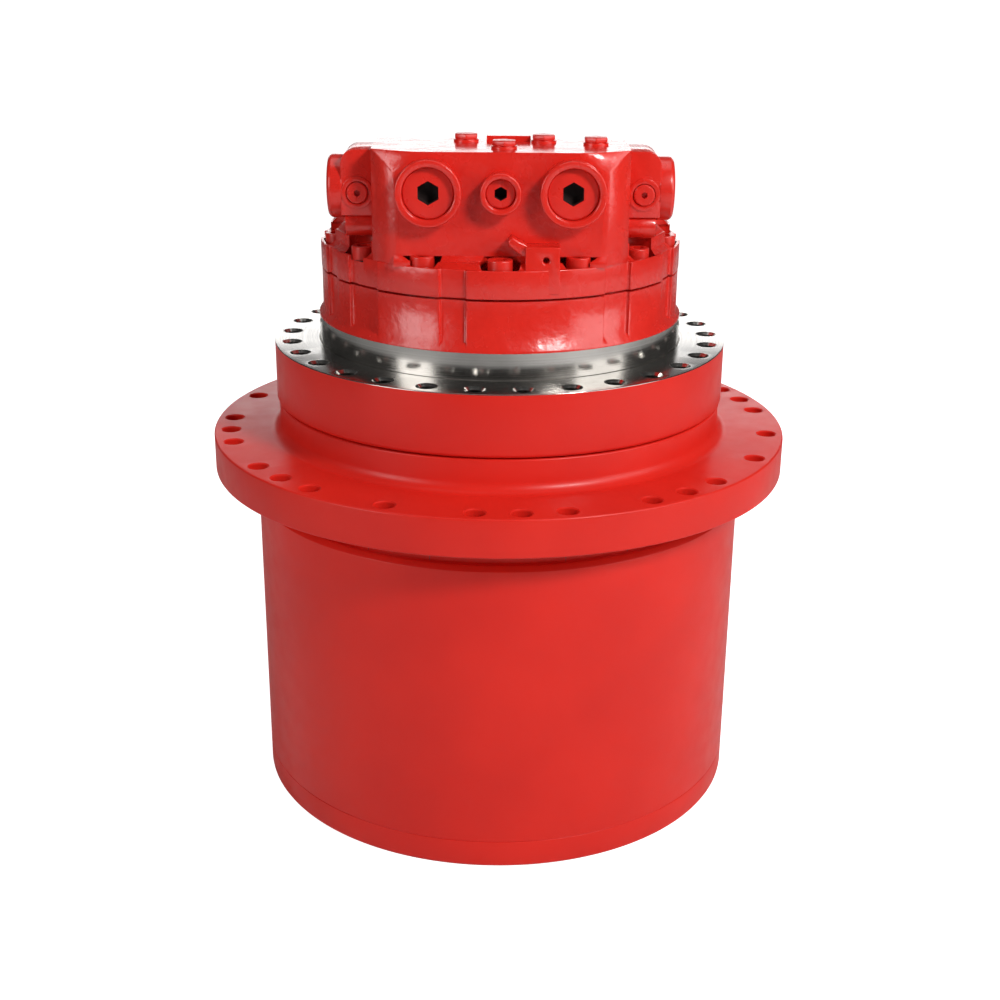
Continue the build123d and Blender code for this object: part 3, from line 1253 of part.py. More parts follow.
def valve_block():
    """The block with its coned corners, sloped foot, top pad, port bosses and room for the bolt heads."""
    body = Pos(0, 0, REAR_FLANGE_TOP) * extrude(block_outline(), VALVE_BLOCK_HEIGHT)
    body = body - corner_cut(-1) - corner_cut(1) + block_foot()
    body += Pos(TOP_PAD_X, BLOCK_BACK - TOP_PAD_WIDTH, BLOCK_TOP) * extrude(
        Rectangle(TOP_PAD_LENGTH, TOP_PAD_WIDTH), TOP_PAD_HEIGHT)
    rooted = PORT_BOSS_LENGTH + EDGE_BREAK
    boss = disc(PORT_BOSS_RADIUS, 0, rooted)
    body += [facing_front(boss, x, PORT_FACE + rooted, PORT_Z) for x in port_places()]
    body += facing_front(disc(PILOT_BOSS_RADIUS, 0, rooted), 0, PORT_FACE + rooted, PORT_Z)
    return body - casing_bolt_pockets(head_room())


def head_room():
    """The height up to which the block is cut for the casing bolts' heads."""
    return REAR_FLANGE_TOP - BOLT_SEAT_SINK + 2 * CASING_BOLT_RADIUS + EDGE_BREAK


def rear_cover():
    """The rear cover: flange, curb with bolt pockets, valve block, wings and bosses."""
    body = cover_base() + valve_block() + wing(-1) + wing(1) + square_pad() + casting_ear()
    neck = disc(REAR_BOSS_RADIUS, PORT_PLATE_TOP, CASING_TOP) + ring(
        BRAKE_BORE - RUNNING_FIT, REAR_BOSS_RADIUS - 1.0, SPRING_SEAT, CASING_TOP)
    return body + neck - rear_cover_bores()


def rear_cover_bores():
    """All bores of the rear cover: bolts, shaft bearing, ports, plugs, spool, relief valves."""
    bolt_hole = disc(CASING_BOLT_RADIUS + SCREW_HOLE_GAP, CASING_TOP, REAR_FLANGE_TOP)
    cuts = around(bolt_hole, CASING_BOLTS, CASING_BOLT_CIRCLE, CASING_BOLT_START)
    rear = rear_bearing_bottom()
    cuts.append(disc(SHAFT_TAIL_RADIUS + SHAFT_TAIL_GAP, PORT_PLATE_TOP, rear))
    cuts.append(disc(SHAFT_TAIL_RADIUS + REAR_BEARING_SECTION + RUNNING_FIT / 5, rear,
                     rear + SHAFT_BEARING_WIDTH + SEAT_GAP))
    recess = disc(PORT_RECESS_RADIUS, -PORT_RECESS_DEPTH, 1.0)
    stem = disc(PORT_RECESS_RADIUS * PLUG_STEM_RATIO, -PORT_RECESS_DEPTH - PLUG_STEM_LENGTH - TAP_RUNOUT, 0)
    cuts += [facing_front(recess + stem, x, PORT_FACE, PORT_Z) for x in port_places()]
    recess = disc(PILOT_RECESS_RADIUS, -PORT_RECESS_DEPTH, 1.0)
    stem = disc(PILOT_RECESS_RADIUS * PLUG_STEM_RATIO, -PORT_RECESS_DEPTH - PLUG_STEM_LENGTH - TAP_RUNOUT, 0)
    cuts.append(facing_front(recess + stem, 0, PORT_FACE, PORT_Z))
    stem = disc(WING_PLUG_RADIUS * PLUG_STEM_RATIO, -wing_plug_stem() - WING_PLUG_SINK - 1.0, 0)
    seat = disc(WING_PLUG_RADIUS + SEAT_GAP, -WING_PLUG_SINK, WING_BOSS_RISE + 1.0)
    cuts += [facing_front(seat + stem, x, WING_FRONT, wing_plug_z()) for x in wing_plug_places()]
    spool = disc(SPOOL_RADIUS + RUNNING_FIT, 0, 2 * WING_END)
    cuts.append(facing_side(spool, 1, -WING_END, SPOOL_Y, SPOOL_Z))
    chamber = disc(SPOOL_RADIUS + SPRING_ROOM, 0, SPOOL_CHAMBER)
    cuts += [facing_side(chamber, side, WING_END - SPOOL_CHAMBER, SPOOL_Y, SPOOL_Z) for side in (-1, 1)]
    relief = disc(RELIEF_RADIUS + RUNNING_FIT, -RELIEF_DEPTH, 0)
    cuts += [place * relief for place in relief_places()]
    cuts += [Pos(x, y, BLOCK_TOP) * disc(TOP_PLUG_STEM + RUNNING_FIT, -PLUG_STEM_LENGTH, 0)
             for x, y in top_plug_places()]
    return cuts


def wing_plug_z():
    """The height of the small plugs in the wings."""
    return PORT_Z - WING_PLUG_DROP


def wing_plug_stem():
    """The length of a wing plug's stem, which ends short of the spool chamber."""
    chamber = SPOOL_Y - SPOOL_RADIUS - SPRING_ROOM
    return chamber - WING_FRONT - WING_PLUG_SINK - EDGE_BREAK


def wing_plug_places():
    """The middles of the two wings."""
    middle = (BLOCK_HALF_WIDTH + WING_END) / 2
    return (-middle, middle)


def square_pad():
    """The raised square pad low on the front of the block, with a small tapped hole."""
    depth = CASING_RADIUS + BLOCK_FRONT
    body = Pos(SQUARE_PAD_X, BLOCK_FRONT - depth / 2 + EDGE_BREAK, REAR_FLANGE_TOP) * extrude(
        Rectangle(SQUARE_PAD_WIDTH, depth), SQUARE_PAD_HEIGHT)
    front = BLOCK_FRONT - depth + EDGE_BREAK
    hole = disc(PAD_HOLE_RADIUS, -PAD_HOLE_DEPTH, EDGE_BREAK)
    return body - facing_front(hole, PAD_HOLE_X, front, REAR_FLANGE_TOP + PAD_HOLE_HEIGHT)


def casting_ear():
    """The pointed casting ear beside the pad, above the middle bolt."""
    right = SQUARE_PAD_X - SQUARE_PAD_WIDTH / 2 + EDGE_BREAK
    left = right - EAR_WIDTH
    low = head_room() + EAR_GAP_OVER_HEAD
    pad_top = REAR_FLANGE_TOP + SQUARE_PAD_HEIGHT
    peak = REAR_FLANGE_TOP + EAR_HEIGHT
    outline = make_face(Polyline(
        (left, low),
        (right, low),
        (right, pad_top),
        (left + EAR_WIDTH / 2, (pad_top + peak) / 2),
        (left + EAR_WIDTH / 4, peak),
        (left, pad_top),
        close=True,
    ))
    return facing_front(extrude(outline, EAR_REACH + EDGE_BREAK), 0, BLOCK_FRONT + EDGE_BREAK, 0)


def casing_screws():
    """The socket head screws that hold the rear cover, heads in the rim's pockets."""
    length = REAR_FLANGE_THICKNESS - BOLT_SEAT_SINK + CASING_BOLT_ENGAGEMENT
    screw = Rot(180, 0, 0) * socket_screw(CASING_BOLT_RADIUS, length, 2 * CASING_BOLT_RADIUS, 0)
    seated = Pos(0, 0, REAR_FLANGE_TOP - BOLT_SEAT_SINK) * screw
    return around(seated, CASING_BOLTS, CASING_BOLT_CIRCLE, CASING_BOLT_START)


def main_port_plugs():
    """The two large plugs, sunk in their port bosses."""
    body = plug(PORT_RECESS_RADIUS - SEAT_GAP, PORT_RECESS_RADIUS * PLUG_STEM_RATIO - RUNNING_FIT,
                PLUG_STEM_LENGTH, PORT_HEX_SIZE)
    return [facing_front(body, x, PORT_FACE + PORT_RECESS_DEPTH, PORT_Z) for x in port_places()]


def small_port_plugs():
    """The plugs of the middle port and of the two wings."""
    middle = plug(PILOT_RECESS_RADIUS - SEAT_GAP, PILOT_RECESS_RADIUS * PLUG_STEM_RATIO - RUNNING_FIT,
                  PLUG_STEM_LENGTH, PILOT_HEX_SIZE)
    side = plug(WING_PLUG_RADIUS, WING_PLUG_RADIUS * PLUG_STEM_RATIO - RUNNING_FIT,
                wing_plug_stem(), WING_HEX_SIZE)
    plugs = [facing_front(middle, 0, PORT_FACE + PORT_RECESS_DEPTH, PORT_Z)]
    plugs += [facing_front(side, x, WING_FRONT + WING_PLUG_SINK, wing_plug_z()) for x in wing_plug_places()]
    return plugs


def top_plug_places():
    """Where the four hexagon plugs stand on the top face, as X and Y."""
    return (
        (-30.0, BLOCK_BACK - 20.0),
        (2.5, BLOCK_FRONT + 27.0),
        (36.5, BLOCK_BACK - 25.0),
        (80.5, BLOCK_BACK - 38.0),
    )


def top_plugs():
    """Four hexagon head plugs with thin collars on the top face."""
    body = disc(TOP_PLUG_SIZE / 2 + EDGE_BREAK, 0, TOP_PLUG_COLLAR) + hexagon_prism(
        TOP_PLUG_SIZE, TOP_PLUG_COLLAR, TOP_PLUG_HEIGHT)
    body += disc(TOP_PLUG_STEM, -PLUG_STEM_LENGTH + EDGE_BREAK, 0)
    return [Pos(x, y, BLOCK_TOP) * body for x, y in top_plug_places()]


def spool_caps():
    """The round caps screwed over both ends of the spool bore."""
    neck = SPOOL_RADIUS + SPRING_ROOM - RUNNING_FIT
    body = disc(SPOOL_CAP_RADIUS, 0, SPOOL_CAP_LENGTH) + disc(neck, -SPOOL_CAP_NECK, 0)
    body = chamfer(body.edges().group_by(Axis.Z)[-1], 2 * EDGE_BREAK)
    return [facing_side(body, side, WING_END, SPOOL_Y, SPOOL_Z) for side in (-1, 1)]


def counterbalance_spool():
    """The spool with its three lands."""
    half = SPOOL_LENGTH / 2
    land = SPOOL_RADIUS
    waist = SPOOL_RADIUS * 0.6
    body = turned(
        (0, -half), (land, -half), (land, -half * 0.6), (waist, -half * 0.55), (waist, -half * 0.3),
        (land, -half * 0.25), (land, half * 0.25), (waist, half * 0.3), (waist, half * 0.55),
        (land, half * 0.6), (land, half), (0, half),
    )
    return Pos(0, SPOOL_Y, SPOOL_Z) * Rot(0, 90, 0) * body


def coil_spring(radius, length):
    """A coil spring along +Z with flat ends, its wire laid in straight runs."""
    runs = 8
    points = []
    for step in range(SPRING_TURNS * runs + 1):
        turn = 2 * math.pi * step / runs
        height = SPRING_WIRE + (length - 2 * SPRING_WIRE) * step / (SPRING_TURNS * runs)
        points.append((radius * math.cos(turn), radius * math.sin(turn), height))
    path = Polyline(*points)
    section = Plane(origin=path @ 0, z_dir=path % 0) * Rectangle(SPRING_WIRE, SPRING_WIRE)
    return sweep(section, path=path, transition=Transition.RIGHT)


def spool_springs():
    """The two springs that centre the spool between the caps."""
    room = WING_END - SPOOL_CAP_NECK - SPOOL_LENGTH / 2
    spring = coil_spring(SPOOL_RADIUS - SPRING_WIRE, room)
    return [facing_side(spring, side, SPOOL_LENGTH / 2, SPOOL_Y, SPOOL_Z) for side in (-1, 1)]


def relief_valves():
    """Two relief valve cartridges screwed down into the dome."""
    body = turned(
        (0, EDGE_BREAK - RELIEF_DEPTH),
        (RELIEF_RADIUS - RELIEF_COLLAR, EDGE_BREAK - RELIEF_DEPTH),
        (RELIEF_RADIUS, EDGE_BREAK + RELIEF_COLLAR - RELIEF_DEPTH),
        (RELIEF_RADIUS, 0),
        (RELIEF_HEAD_SIZE / 2 + 1.0, 0),
        (RELIEF_HEAD_SIZE / 2 + 1.0, RELIEF_COLLAR),
        (0, RELIEF_COLLAR),
    )
    body += hexagon_prism(RELIEF_HEAD_SIZE, RELIEF_COLLAR, RELIEF_HEAD_TOP)
    body += disc(RELIEF_RADIUS - EDGE_BREAK, RELIEF_HEAD_TOP, RELIEF_STEM_TOP)
    body += hexagon_prism(RELIEF_RADIUS, RELIEF_STEM_TOP, RELIEF_STEM_TOP + 2 * RELIEF_COLLAR)
    return [place * body for place in relief_places()]


def write_housing():
    """Write the nodes that turn with the sprocket."""
    write("end_cover", end_cover())
    write("cover_screws", *cover_screws())
    write("oil_plugs", *oil_plugs())
    write("cover_seal_ring", cover_seal_ring())
    write("ring_gear_drum", ring_gear_drum())
    write("housing_screws", *housing_screws())
    write("sprocket_hub", sprocket_hub())
    write("main_bearing_outer_races", *bearing_pair([bearing_race(BEARING_OUTER, 1)]))
    write("main_bearing_rollers", *bearing_pair(bearing_rollers()))
    write("seal_ring_rotating", seal_ring(True))
    write("seal_rubber_rotating", seal_rubber(True))


def write_stages():
    """Write both planetary stages."""
    write("first_stage_sun", first_stage_sun())
    write("second_stage_sun", second_stage_sun())
    write("first_stage_carrier", first_stage_carrier())
    write("second_stage_carrier", second_stage_carrier())
    write("carrier_screws", *carrier_screws())
    pin_bottom = PLANET_1_BOTTOM - WASHER_SPACE
    write("first_stage_pins", *planet_pins(CENTRE_1, PIN_1_RADIUS, PLANETS_1, pin_bottom, CARRIER_1_TOP))
    write("second_stage_pins", *planet_pins(CENTRE_2, PIN_2_RADIUS, PLANETS_2, CARRIER_2_BOTTOM, SPINDLE_END))
    write("first_stage_washers", *thrust_washers(
        CENTRE_1, PIN_1_RADIUS, PLANETS_1, pin_bottom + SEAT_GAP, PLANET_1_TOP + SEAT_GAP))
    low_washer = PLANET_2_BOTTOM - WASHER_SPACE + SEAT_GAP
    write("second_stage_washers", *thrust_washers(
        CENTRE_2, PIN_2_RADIUS, PLANETS_2, low_washer, PLANET_2_TOP + SEAT_GAP))
    write("first_stage_needles", *needle_set(
        CENTRE_1, PIN_1_RADIUS, NEEDLES_PER_PLANET, PLANETS_1, PLANET_1_BOTTOM, PLANET_1_TOP))
    write("second_stage_needles", *needle_set(
        CENTRE_2, PIN_2_RADIUS, NEEDLES_PER_PLANET, PLANETS_2, PLANET_2_BOTTOM, PLANET_2_TOP))
    for place in range(PLANETS_1):
        angle = place * 2 * math.pi / PLANETS_1
        write(f"first_stage_planet_{place + 1}", planet_gear(
            SUN_1_TEETH, PLANET_1_TEETH, CENTRE_1, angle, planet_bore(PIN_1_RADIUS),
            PLANET_1_BOTTOM, PLANET_1_TOP))
    for place in range(PLANETS_2):
        angle = place * 2 * math.pi / PLANETS_2
        write(f"second_stage_planet_{place + 1}", planet_gear(
            SUN_2_TEETH, PLANET_2_TEETH, CENTRE_2, angle, planet_bore(PIN_2_RADIUS),
            PLANET_2_BOTTOM, PLANET_2_TOP))


def write_motor():
    """Write the stationary motor housing and the piston motor inside it."""
    write("motor_housing", motor_housing())
    write("main_bearing_inner_races", *bearing_pair([bearing_race(BEARING_INNER, -1)]))
    write("ring_nut", ring_nut())
    write("seal_ring_fixed", seal_ring(False))
    write("seal_rubber_fixed", seal_rubber(False))
    front = front_bearing()
    rear = rear_bearing()
    write("motor_shaft", motor_shaft())
    write("shaft_bearing_inner_rings", front[0], rear[0])
    write("shaft_bearing_outer_rings", front[1], rear[1])
    write("shaft_bearing_rollers", *front[2], *rear[2])
    write("shaft_seal", shaft_seal())
    write("swash_plate", swash_plate())
    write("swash_pivots", *swash_pivots())
    write("tilt_piston", tilt_piston())
    write("cylinder_block", cylinder_block())
    write("pistons", *pistons())
    write("piston_shoes", *piston_shoes())
    write("retainer_plate", retainer_plate())
    write("friction_discs", *brake_discs(1, FRICTION_DISCS, BRAKE_DISC_INNER, BRAKE_DISC_OUTER - 3.0))
    write("brake_plates", *brake_discs(0, FRICTION_DISCS + 1, BRAKE_DISC_INNER + 3.0, BRAKE_BORE - SEAT_GAP))
    write("brake_piston", brake_piston())
    write("brake_spring", brake_spring())
    write("valve_plate", valve_plate())


def write_rear_cover():
    """Write the rear cover, its screws, plugs, spool and valves."""
    write("rear_cover", rear_cover())
    write("casing_screws", *casing_screws())
    write("main_port_plugs", *main_port_plugs())
    write("small_port_plugs", *small_port_plugs())
    write("top_plugs", *top_plugs())
    write("spool_caps", *spool_caps())
    write("counterbalance_spool", counterbalance_spool())
    write("spool_springs", *spool_springs())
    write("relief_valves", *relief_valves())


os.makedirs(STEP_FOLDER, exist_ok=True)
write_housing()
write_stages()
write_motor()
write_rear_cover()
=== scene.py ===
"""Excavator final drive: the looks of a track drive's drum, hub, frame ring, motor casing and valve block.

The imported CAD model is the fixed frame. The outside pieces are turned, cut and finished here, in metres.
"""

from __future__ import annotations

import json
import logging
import math
from collections.abc import Callable, Iterable, Sequence
from dataclasses import dataclass, field
from enum import Enum

import bpy
from mathutils import Matrix, Vector

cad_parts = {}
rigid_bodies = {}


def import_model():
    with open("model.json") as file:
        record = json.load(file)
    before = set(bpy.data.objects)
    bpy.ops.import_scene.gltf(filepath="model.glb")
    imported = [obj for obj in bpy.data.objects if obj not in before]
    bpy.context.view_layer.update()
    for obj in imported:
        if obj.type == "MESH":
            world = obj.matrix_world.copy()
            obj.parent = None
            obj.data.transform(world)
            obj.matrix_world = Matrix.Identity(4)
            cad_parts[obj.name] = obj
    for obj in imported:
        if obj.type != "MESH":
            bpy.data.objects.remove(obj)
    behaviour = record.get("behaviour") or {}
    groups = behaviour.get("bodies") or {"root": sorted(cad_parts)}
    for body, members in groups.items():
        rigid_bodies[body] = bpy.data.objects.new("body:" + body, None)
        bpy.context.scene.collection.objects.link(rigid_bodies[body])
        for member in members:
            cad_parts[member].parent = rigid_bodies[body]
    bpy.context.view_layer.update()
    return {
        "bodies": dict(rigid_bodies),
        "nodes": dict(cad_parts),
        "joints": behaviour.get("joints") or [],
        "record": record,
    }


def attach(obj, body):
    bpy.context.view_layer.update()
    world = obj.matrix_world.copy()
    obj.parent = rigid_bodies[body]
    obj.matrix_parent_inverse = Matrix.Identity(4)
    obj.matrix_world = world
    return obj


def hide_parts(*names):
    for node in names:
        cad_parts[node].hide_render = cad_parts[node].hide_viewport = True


LOG = logging.getLogger("final_drive")
EASE_STEPS = 4
FULL_TURN = 2 * math.pi
Corner = Sequence[float]
Colour = tuple[float, float, float]


class Body(Enum):
    """The CAD bodies that the outside pieces move with."""

    STILL = "motor_housing_body"
    TURNING = "rotating_housing"


class Facing(Enum):
    """The ways a piece that was built upright can point."""

    UP = "up"
    DOWN = "down"
    FRONT = "front"
    RIGHT = "right"
    LEFT = "left"


TURNS: dict[Facing, Matrix] = {
    Facing.UP: Matrix.Identity(4),
    Facing.DOWN: Matrix.Rotation(math.pi, 4, "X"),
    Facing.FRONT: Matrix.Rotation(math.pi / 2, 4, "X"),
    Facing.RIGHT: Matrix.Rotation(math.pi / 2, 4, "Y"),
    Facing.LEFT: Matrix.Rotation(-math.pi / 2, 4, "Y"),
}


# Workshop: the operators that every sub-assembly uses


def clear_selection() -> None:
    """Deselect every object, in object mode."""
    if bpy.context.object and bpy.context.object.mode != "OBJECT":
        bpy.ops.object.mode_set(mode="OBJECT")
    bpy.ops.object.select_all(action="DESELECT")


def pick(piece: bpy.types.Object) -> None:
    """Make a piece the only selected and active one.

    Args:
        piece: The object to work on.
    """
    clear_selection()
    piece.select_set(True)
    bpy.context.view_layer.objects.active = piece


def eased(corners: Sequence[Corner]) -> list[tuple[float, float]]:
    """Round the corners of a turning profile.

    Args:
        corners: Radius and height of each corner, with a third number where it is rounded.

    Returns:
        The profile's points, with an arc in place of each rounded corner.
    """
    points: list[tuple[float, float]] = []
    count = len(corners)
    for index, corner in enumerate(corners):
        here = Vector(corner[:2])
        if len(corner) < 3:
            points.append((here.x, here.y))
            continue
        ease = corner[2]
        before = (Vector(corners[index - 1][:2]) - here).normalized()
        after = (Vector(corners[(index + 1) % count][:2]) - here).normalized()
        half = before.angle(after) / 2
        middle = here + (before + after).normalized() * ease / math.sin(half)
        start = here + before * ease / math.tan(half) - middle
        end = here + after * ease / math.tan(half) - middle
        for step in range(EASE_STEPS + 1):
            point = middle + start.lerp(end, step / EASE_STEPS).normalized() * ease
            points.append((point.x, point.y))
    return points


def turn(name: str, corners: Sequence[Corner], closed: bool = True, segments: int = 256) -> bpy.types.Object:
    """Turn a profile about the Z axis, as on a lathe.

    Args:
        name: The piece's name.
        corners: The profile, as for eased.
        closed: Whether the profile is a loop; otherwise both ends lie on the axis.
        segments: How many steps make the full turn.

    Returns:
        The turned piece.
    """
    points = eased(corners)
    clear_selection()
    bpy.ops.mesh.primitive_plane_add(size=0.01)
    piece = bpy.context.object
    piece.name = name
    bpy.ops.object.mode_set(mode="EDIT")
    bpy.ops.mesh.select_all(action="SELECT")
    bpy.ops.mesh.merge(type="CENTER")
    bpy.ops.mesh.select_all(action="SELECT")
    bpy.ops.transform.translate(value=(points[0][0], 0.0, points[0][1]))
    for (radius, height), (next_radius, next_height) in zip(points, points[1:]):
        step = (next_radius - radius, 0.0, next_height - height)
        bpy.ops.mesh.extrude_region_move(TRANSFORM_OT_translate={"value": step})
    if closed:
        bpy.ops.mesh.select_all(action="SELECT")
        bpy.ops.mesh.edge_face_add()
        bpy.ops.mesh.delete(type="ONLY_FACE")
    bpy.ops.mesh.select_all(action="SELECT")
    bpy.ops.mesh.spin(steps=segments, angle=FULL_TURN, center=(0, 0, 0), axis=(0, 0, 1))
    mend()
    bpy.ops.object.mode_set(mode="OBJECT")
    return piece


def mend() -> None:
    """Merge doubles and turn all faces outwards, in edit mode."""
    bpy.ops.mesh.select_all(action="SELECT")
    bpy.ops.mesh.remove_doubles(threshold=1e-6)
    bpy.ops.mesh.normals_make_consistent(inside=False)


def block(name: str, low: Corner, high: Corner) -> bpy.types.Object:
    """Add a box between two corners.

    Args:
        name: The piece's name.
        low: Its lowest corner.
        high: Its highest corner.

    Returns:
        The box, ready to be shaped.
    """
    size = [b - a for a, b in zip(low, high)]
    middle = [(a + b) / 2 for a, b in zip(low, high)]
    clear_selection()
    bpy.ops.mesh.primitive_cube_add(size=1.0)
    piece = bpy.context.object
    piece.name = name
    bpy.ops.object.mode_set(mode="EDIT")
    bpy.ops.transform.resize(value=size)
    bpy.ops.transform.translate(value=middle)
    bpy.ops.object.mode_set(mode="OBJECT")
    return piece


def plate(name: str, outline: Sequence[Corner], thickness: float) -> bpy.types.Object:
    """Draw a closed outline in the XY plane and extrude it upwards.

    Args:
        name: The piece's name.
        outline: The outline's corners.
        thickness: How far it is extruded.

    Returns:
        The plate.
    """
    clear_selection()
    bpy.ops.mesh.primitive_plane_add(size=0.01)
    piece = bpy.context.object
    piece.name = name
    bpy.ops.object.mode_set(mode="EDIT")
    bpy.ops.mesh.select_all(action="SELECT")
    bpy.ops.mesh.merge(type="CENTER")
    bpy.ops.mesh.select_all(action="SELECT")
    bpy.ops.transform.translate(value=(*outline[0], 0.0))
    for (x, y), (next_x, next_y) in zip(outline, outline[1:]):
        bpy.ops.mesh.extrude_region_move(TRANSFORM_OT_translate={"value": (next_x - x, next_y - y, 0.0)})
    bpy.ops.mesh.select_all(action="SELECT")
    bpy.ops.mesh.edge_face_add()
    bpy.ops.mesh.select_all(action="SELECT")
    bpy.ops.mesh.extrude_region_move(TRANSFORM_OT_translate={"value": (0.0, 0.0, thickness)})
    mend()
    bpy.ops.object.mode_set(mode="OBJECT")
    return piece


def hexagon(size: float, low: float, high: float) -> bpy.types.Object:
    """Add an upright hexagonal bar.

    Args:
        size: The size across its flats.
        low: Its lower end.
        high: Its upper end.

    Returns:
        The bar.
    """
    clear_selection()
    bpy.ops.mesh.primitive_cylinder_add(
        vertices=6, radius=size / math.sqrt(3), depth=high - low, location=(0, 0, (high + low) / 2))
    bpy.ops.object.transform_apply()
    return bpy.context.object


def round_bar(radius: float, low: float, high: float, segments: int = 48) -> bpy.types.Object:
    """Add an upright round bar.

    Args:
        radius: Its radius.
        low: Its lower end.
        high: Its upper end.
        segments: How many sides stand for its roundness.

    Returns:
        The bar.
    """
    clear_selection()
    bpy.ops.mesh.primitive_cylinder_add(
        vertices=segments, radius=radius, depth=high - low, location=(0, 0, (high + low) / 2))
    bpy.ops.object.transform_apply()
    return bpy.context.object


def seat(piece: bpy.types.Object, place: Corner, facing: Facing = Facing.UP, angle: float = 0.0) -> bpy.types.Object:
    """Point an upright piece some way and move it to its place, in its mesh.

    Args:
        piece: The piece, built about the Z axis.
        place: Where its origin goes.
        facing: Which way its top points.
        angle: A turn in degrees about the Z axis of the drive, made last.

    Returns:
        The same piece.
    """
    about = Matrix.Rotation(math.radians(angle), 4, "Z")
    piece.data.transform(about @ Matrix.Translation(Vector(place)) @ TURNS[facing])
    return piece


def copied(piece: bpy.types.Object) -> bpy.types.Object:
    """Copy a piece with its own mesh."""
    twin = piece.copy()
    twin.data = piece.data.copy()
    bpy.context.scene.collection.objects.link(twin)
    return twin


def joined(pieces: Sequence[bpy.types.Object], name: str) -> bpy.types.Object:
    """Join pieces into one object.

    Args:
        pieces: The pieces.
        name: The name of the result.

    Returns:
        The joined piece.
    """
    clear_selection()
    for piece in pieces:
        piece.select_set(True)
    bpy.context.view_layer.objects.active = pieces[0]
    if len(pieces) > 1:
        bpy.ops.object.join()
    pieces[0].name = name
    return pieces[0]


def ring_of(piece: bpy.types.Object, angles: Iterable[float], radius: float, name: str) -> bpy.types.Object:
    """Repeat an upright piece on a circle and join the copies.

    Args:
        piece: The piece at the axis; it is used up.
        angles: The angles of the copies, in degrees from +X.
        radius: The circle's radius.
        name: The name of the result.

    Returns:
        The joined copies.
    """
    twins = [seat(copied(piece), (radius, 0.0, 0.0), angle=angle) for angle in angles]
    bpy.data.objects.remove(piece)
    return joined(twins, name)


def carve(piece: bpy.types.Object, tool: bpy.types.Object, operation: str = "DIFFERENCE") -> None:
    """Cut a tool out of a piece, or weld it on, and use the tool up.

    Args:
        piece: The piece to change.
        tool: The cutter, or the piece to weld on.
        operation: The Boolean modifier's operation.
    """
    pick(piece)
    change = piece.modifiers.new("carve", "BOOLEAN")
    change.object = tool
    change.operation = operation
    change.solver = "EXACT"
    change.use_self = operation == "UNION"
    bpy.ops.object.modifier_apply(modifier=change.name)
    bpy.data.objects.remove(tool)


def soften(piece: bpy.types.Object, width: float, steps: int = 2, angle: float = 35.0) -> None:
    """Round all edges sharper than an angle.

    Args:
        piece: The piece.
        width: The width of the rounding.
        steps: The number of faces across it.
        angle: The smallest angle in degrees that counts as an edge.
    """
    pick(piece)
    change = piece.modifiers.new("soften", "BEVEL")
    change.width = width
    change.segments = steps
    change.limit_method = "ANGLE"
    change.angle_limit = math.radians(angle)
    change.use_clamp_overlap = True
    change.miter_outer = "MITER_ARC"
    bpy.ops.object.modifier_apply(modifier=change.name)


def split_faces(piece: bpy.types.Object) -> None:
    """Split all hollow-cornered faces, so that a bevel can't fold them."""
    choose(piece, "FACE", lambda face: True)
    bpy.ops.mesh.vert_connect_concave()
    leave_edit()


def smooth(piece: bpy.types.Object, angle: float = 35.0) -> None:
    """Shade a piece smoothly, with its sharp edges kept."""
    pick(piece)
    bpy.ops.object.mode_set(mode="EDIT")
    mend()
    bpy.ops.object.mode_set(mode="OBJECT")
    bpy.ops.object.shade_smooth_by_angle(angle=math.radians(angle))


def choose(piece: bpy.types.Object, kind: str, test: Callable[[bpy.types.MeshPolygon | bpy.types.MeshEdge], bool]) -> None:
    """Enter edit mode with only the faces or edges selected that pass a test.

    Args:
        piece: The piece.
        kind: FACE or EDGE.
        test: Tells whether a face or edge is wanted.
    """
    pick(piece)
    bpy.ops.object.mode_set(mode="EDIT")
    bpy.ops.mesh.select_mode(type=kind)
    bpy.ops.mesh.select_all(action="DESELECT")
    bpy.ops.object.mode_set(mode="OBJECT")
    for item in piece.data.polygons if kind == "FACE" else piece.data.edges:
        item.select = test(item)
    bpy.ops.object.mode_set(mode="EDIT")


def leave_edit() -> None:
    """Go back to object mode, with vertex selection as before."""
    bpy.ops.mesh.select_mode(type="VERT")
    bpy.ops.object.mode_set(mode="OBJECT")


def bevel_edges(piece: bpy.types.Object, axis: int, test: Callable[[Vector], bool], width: float, steps: int = 1) -> None:
    """Bevel the edges of a box that run along an axis.

    Args:
        piece: The piece.
        axis: The axis that they run along, 0 to 2.
        test: Tells whether an edge's middle is where it should be.
        width: The bevel's width.
        steps: The number of faces across it.
    """
    points = piece.data.vertices

    def wanted(edge: bpy.types.MeshEdge) -> bool:
        """Tell whether an edge runs along the axis at the right place."""
        first, second = (points[index].co for index in edge.vertices)
        run = second - first
        return abs(run[axis]) > 0.99 * run.length and test((first + second) / 2)

    choose(piece, "EDGE", wanted)
    bpy.ops.mesh.bevel(offset=width, offset_type="OFFSET", segments=steps, affect="EDGES")
    leave_edit()


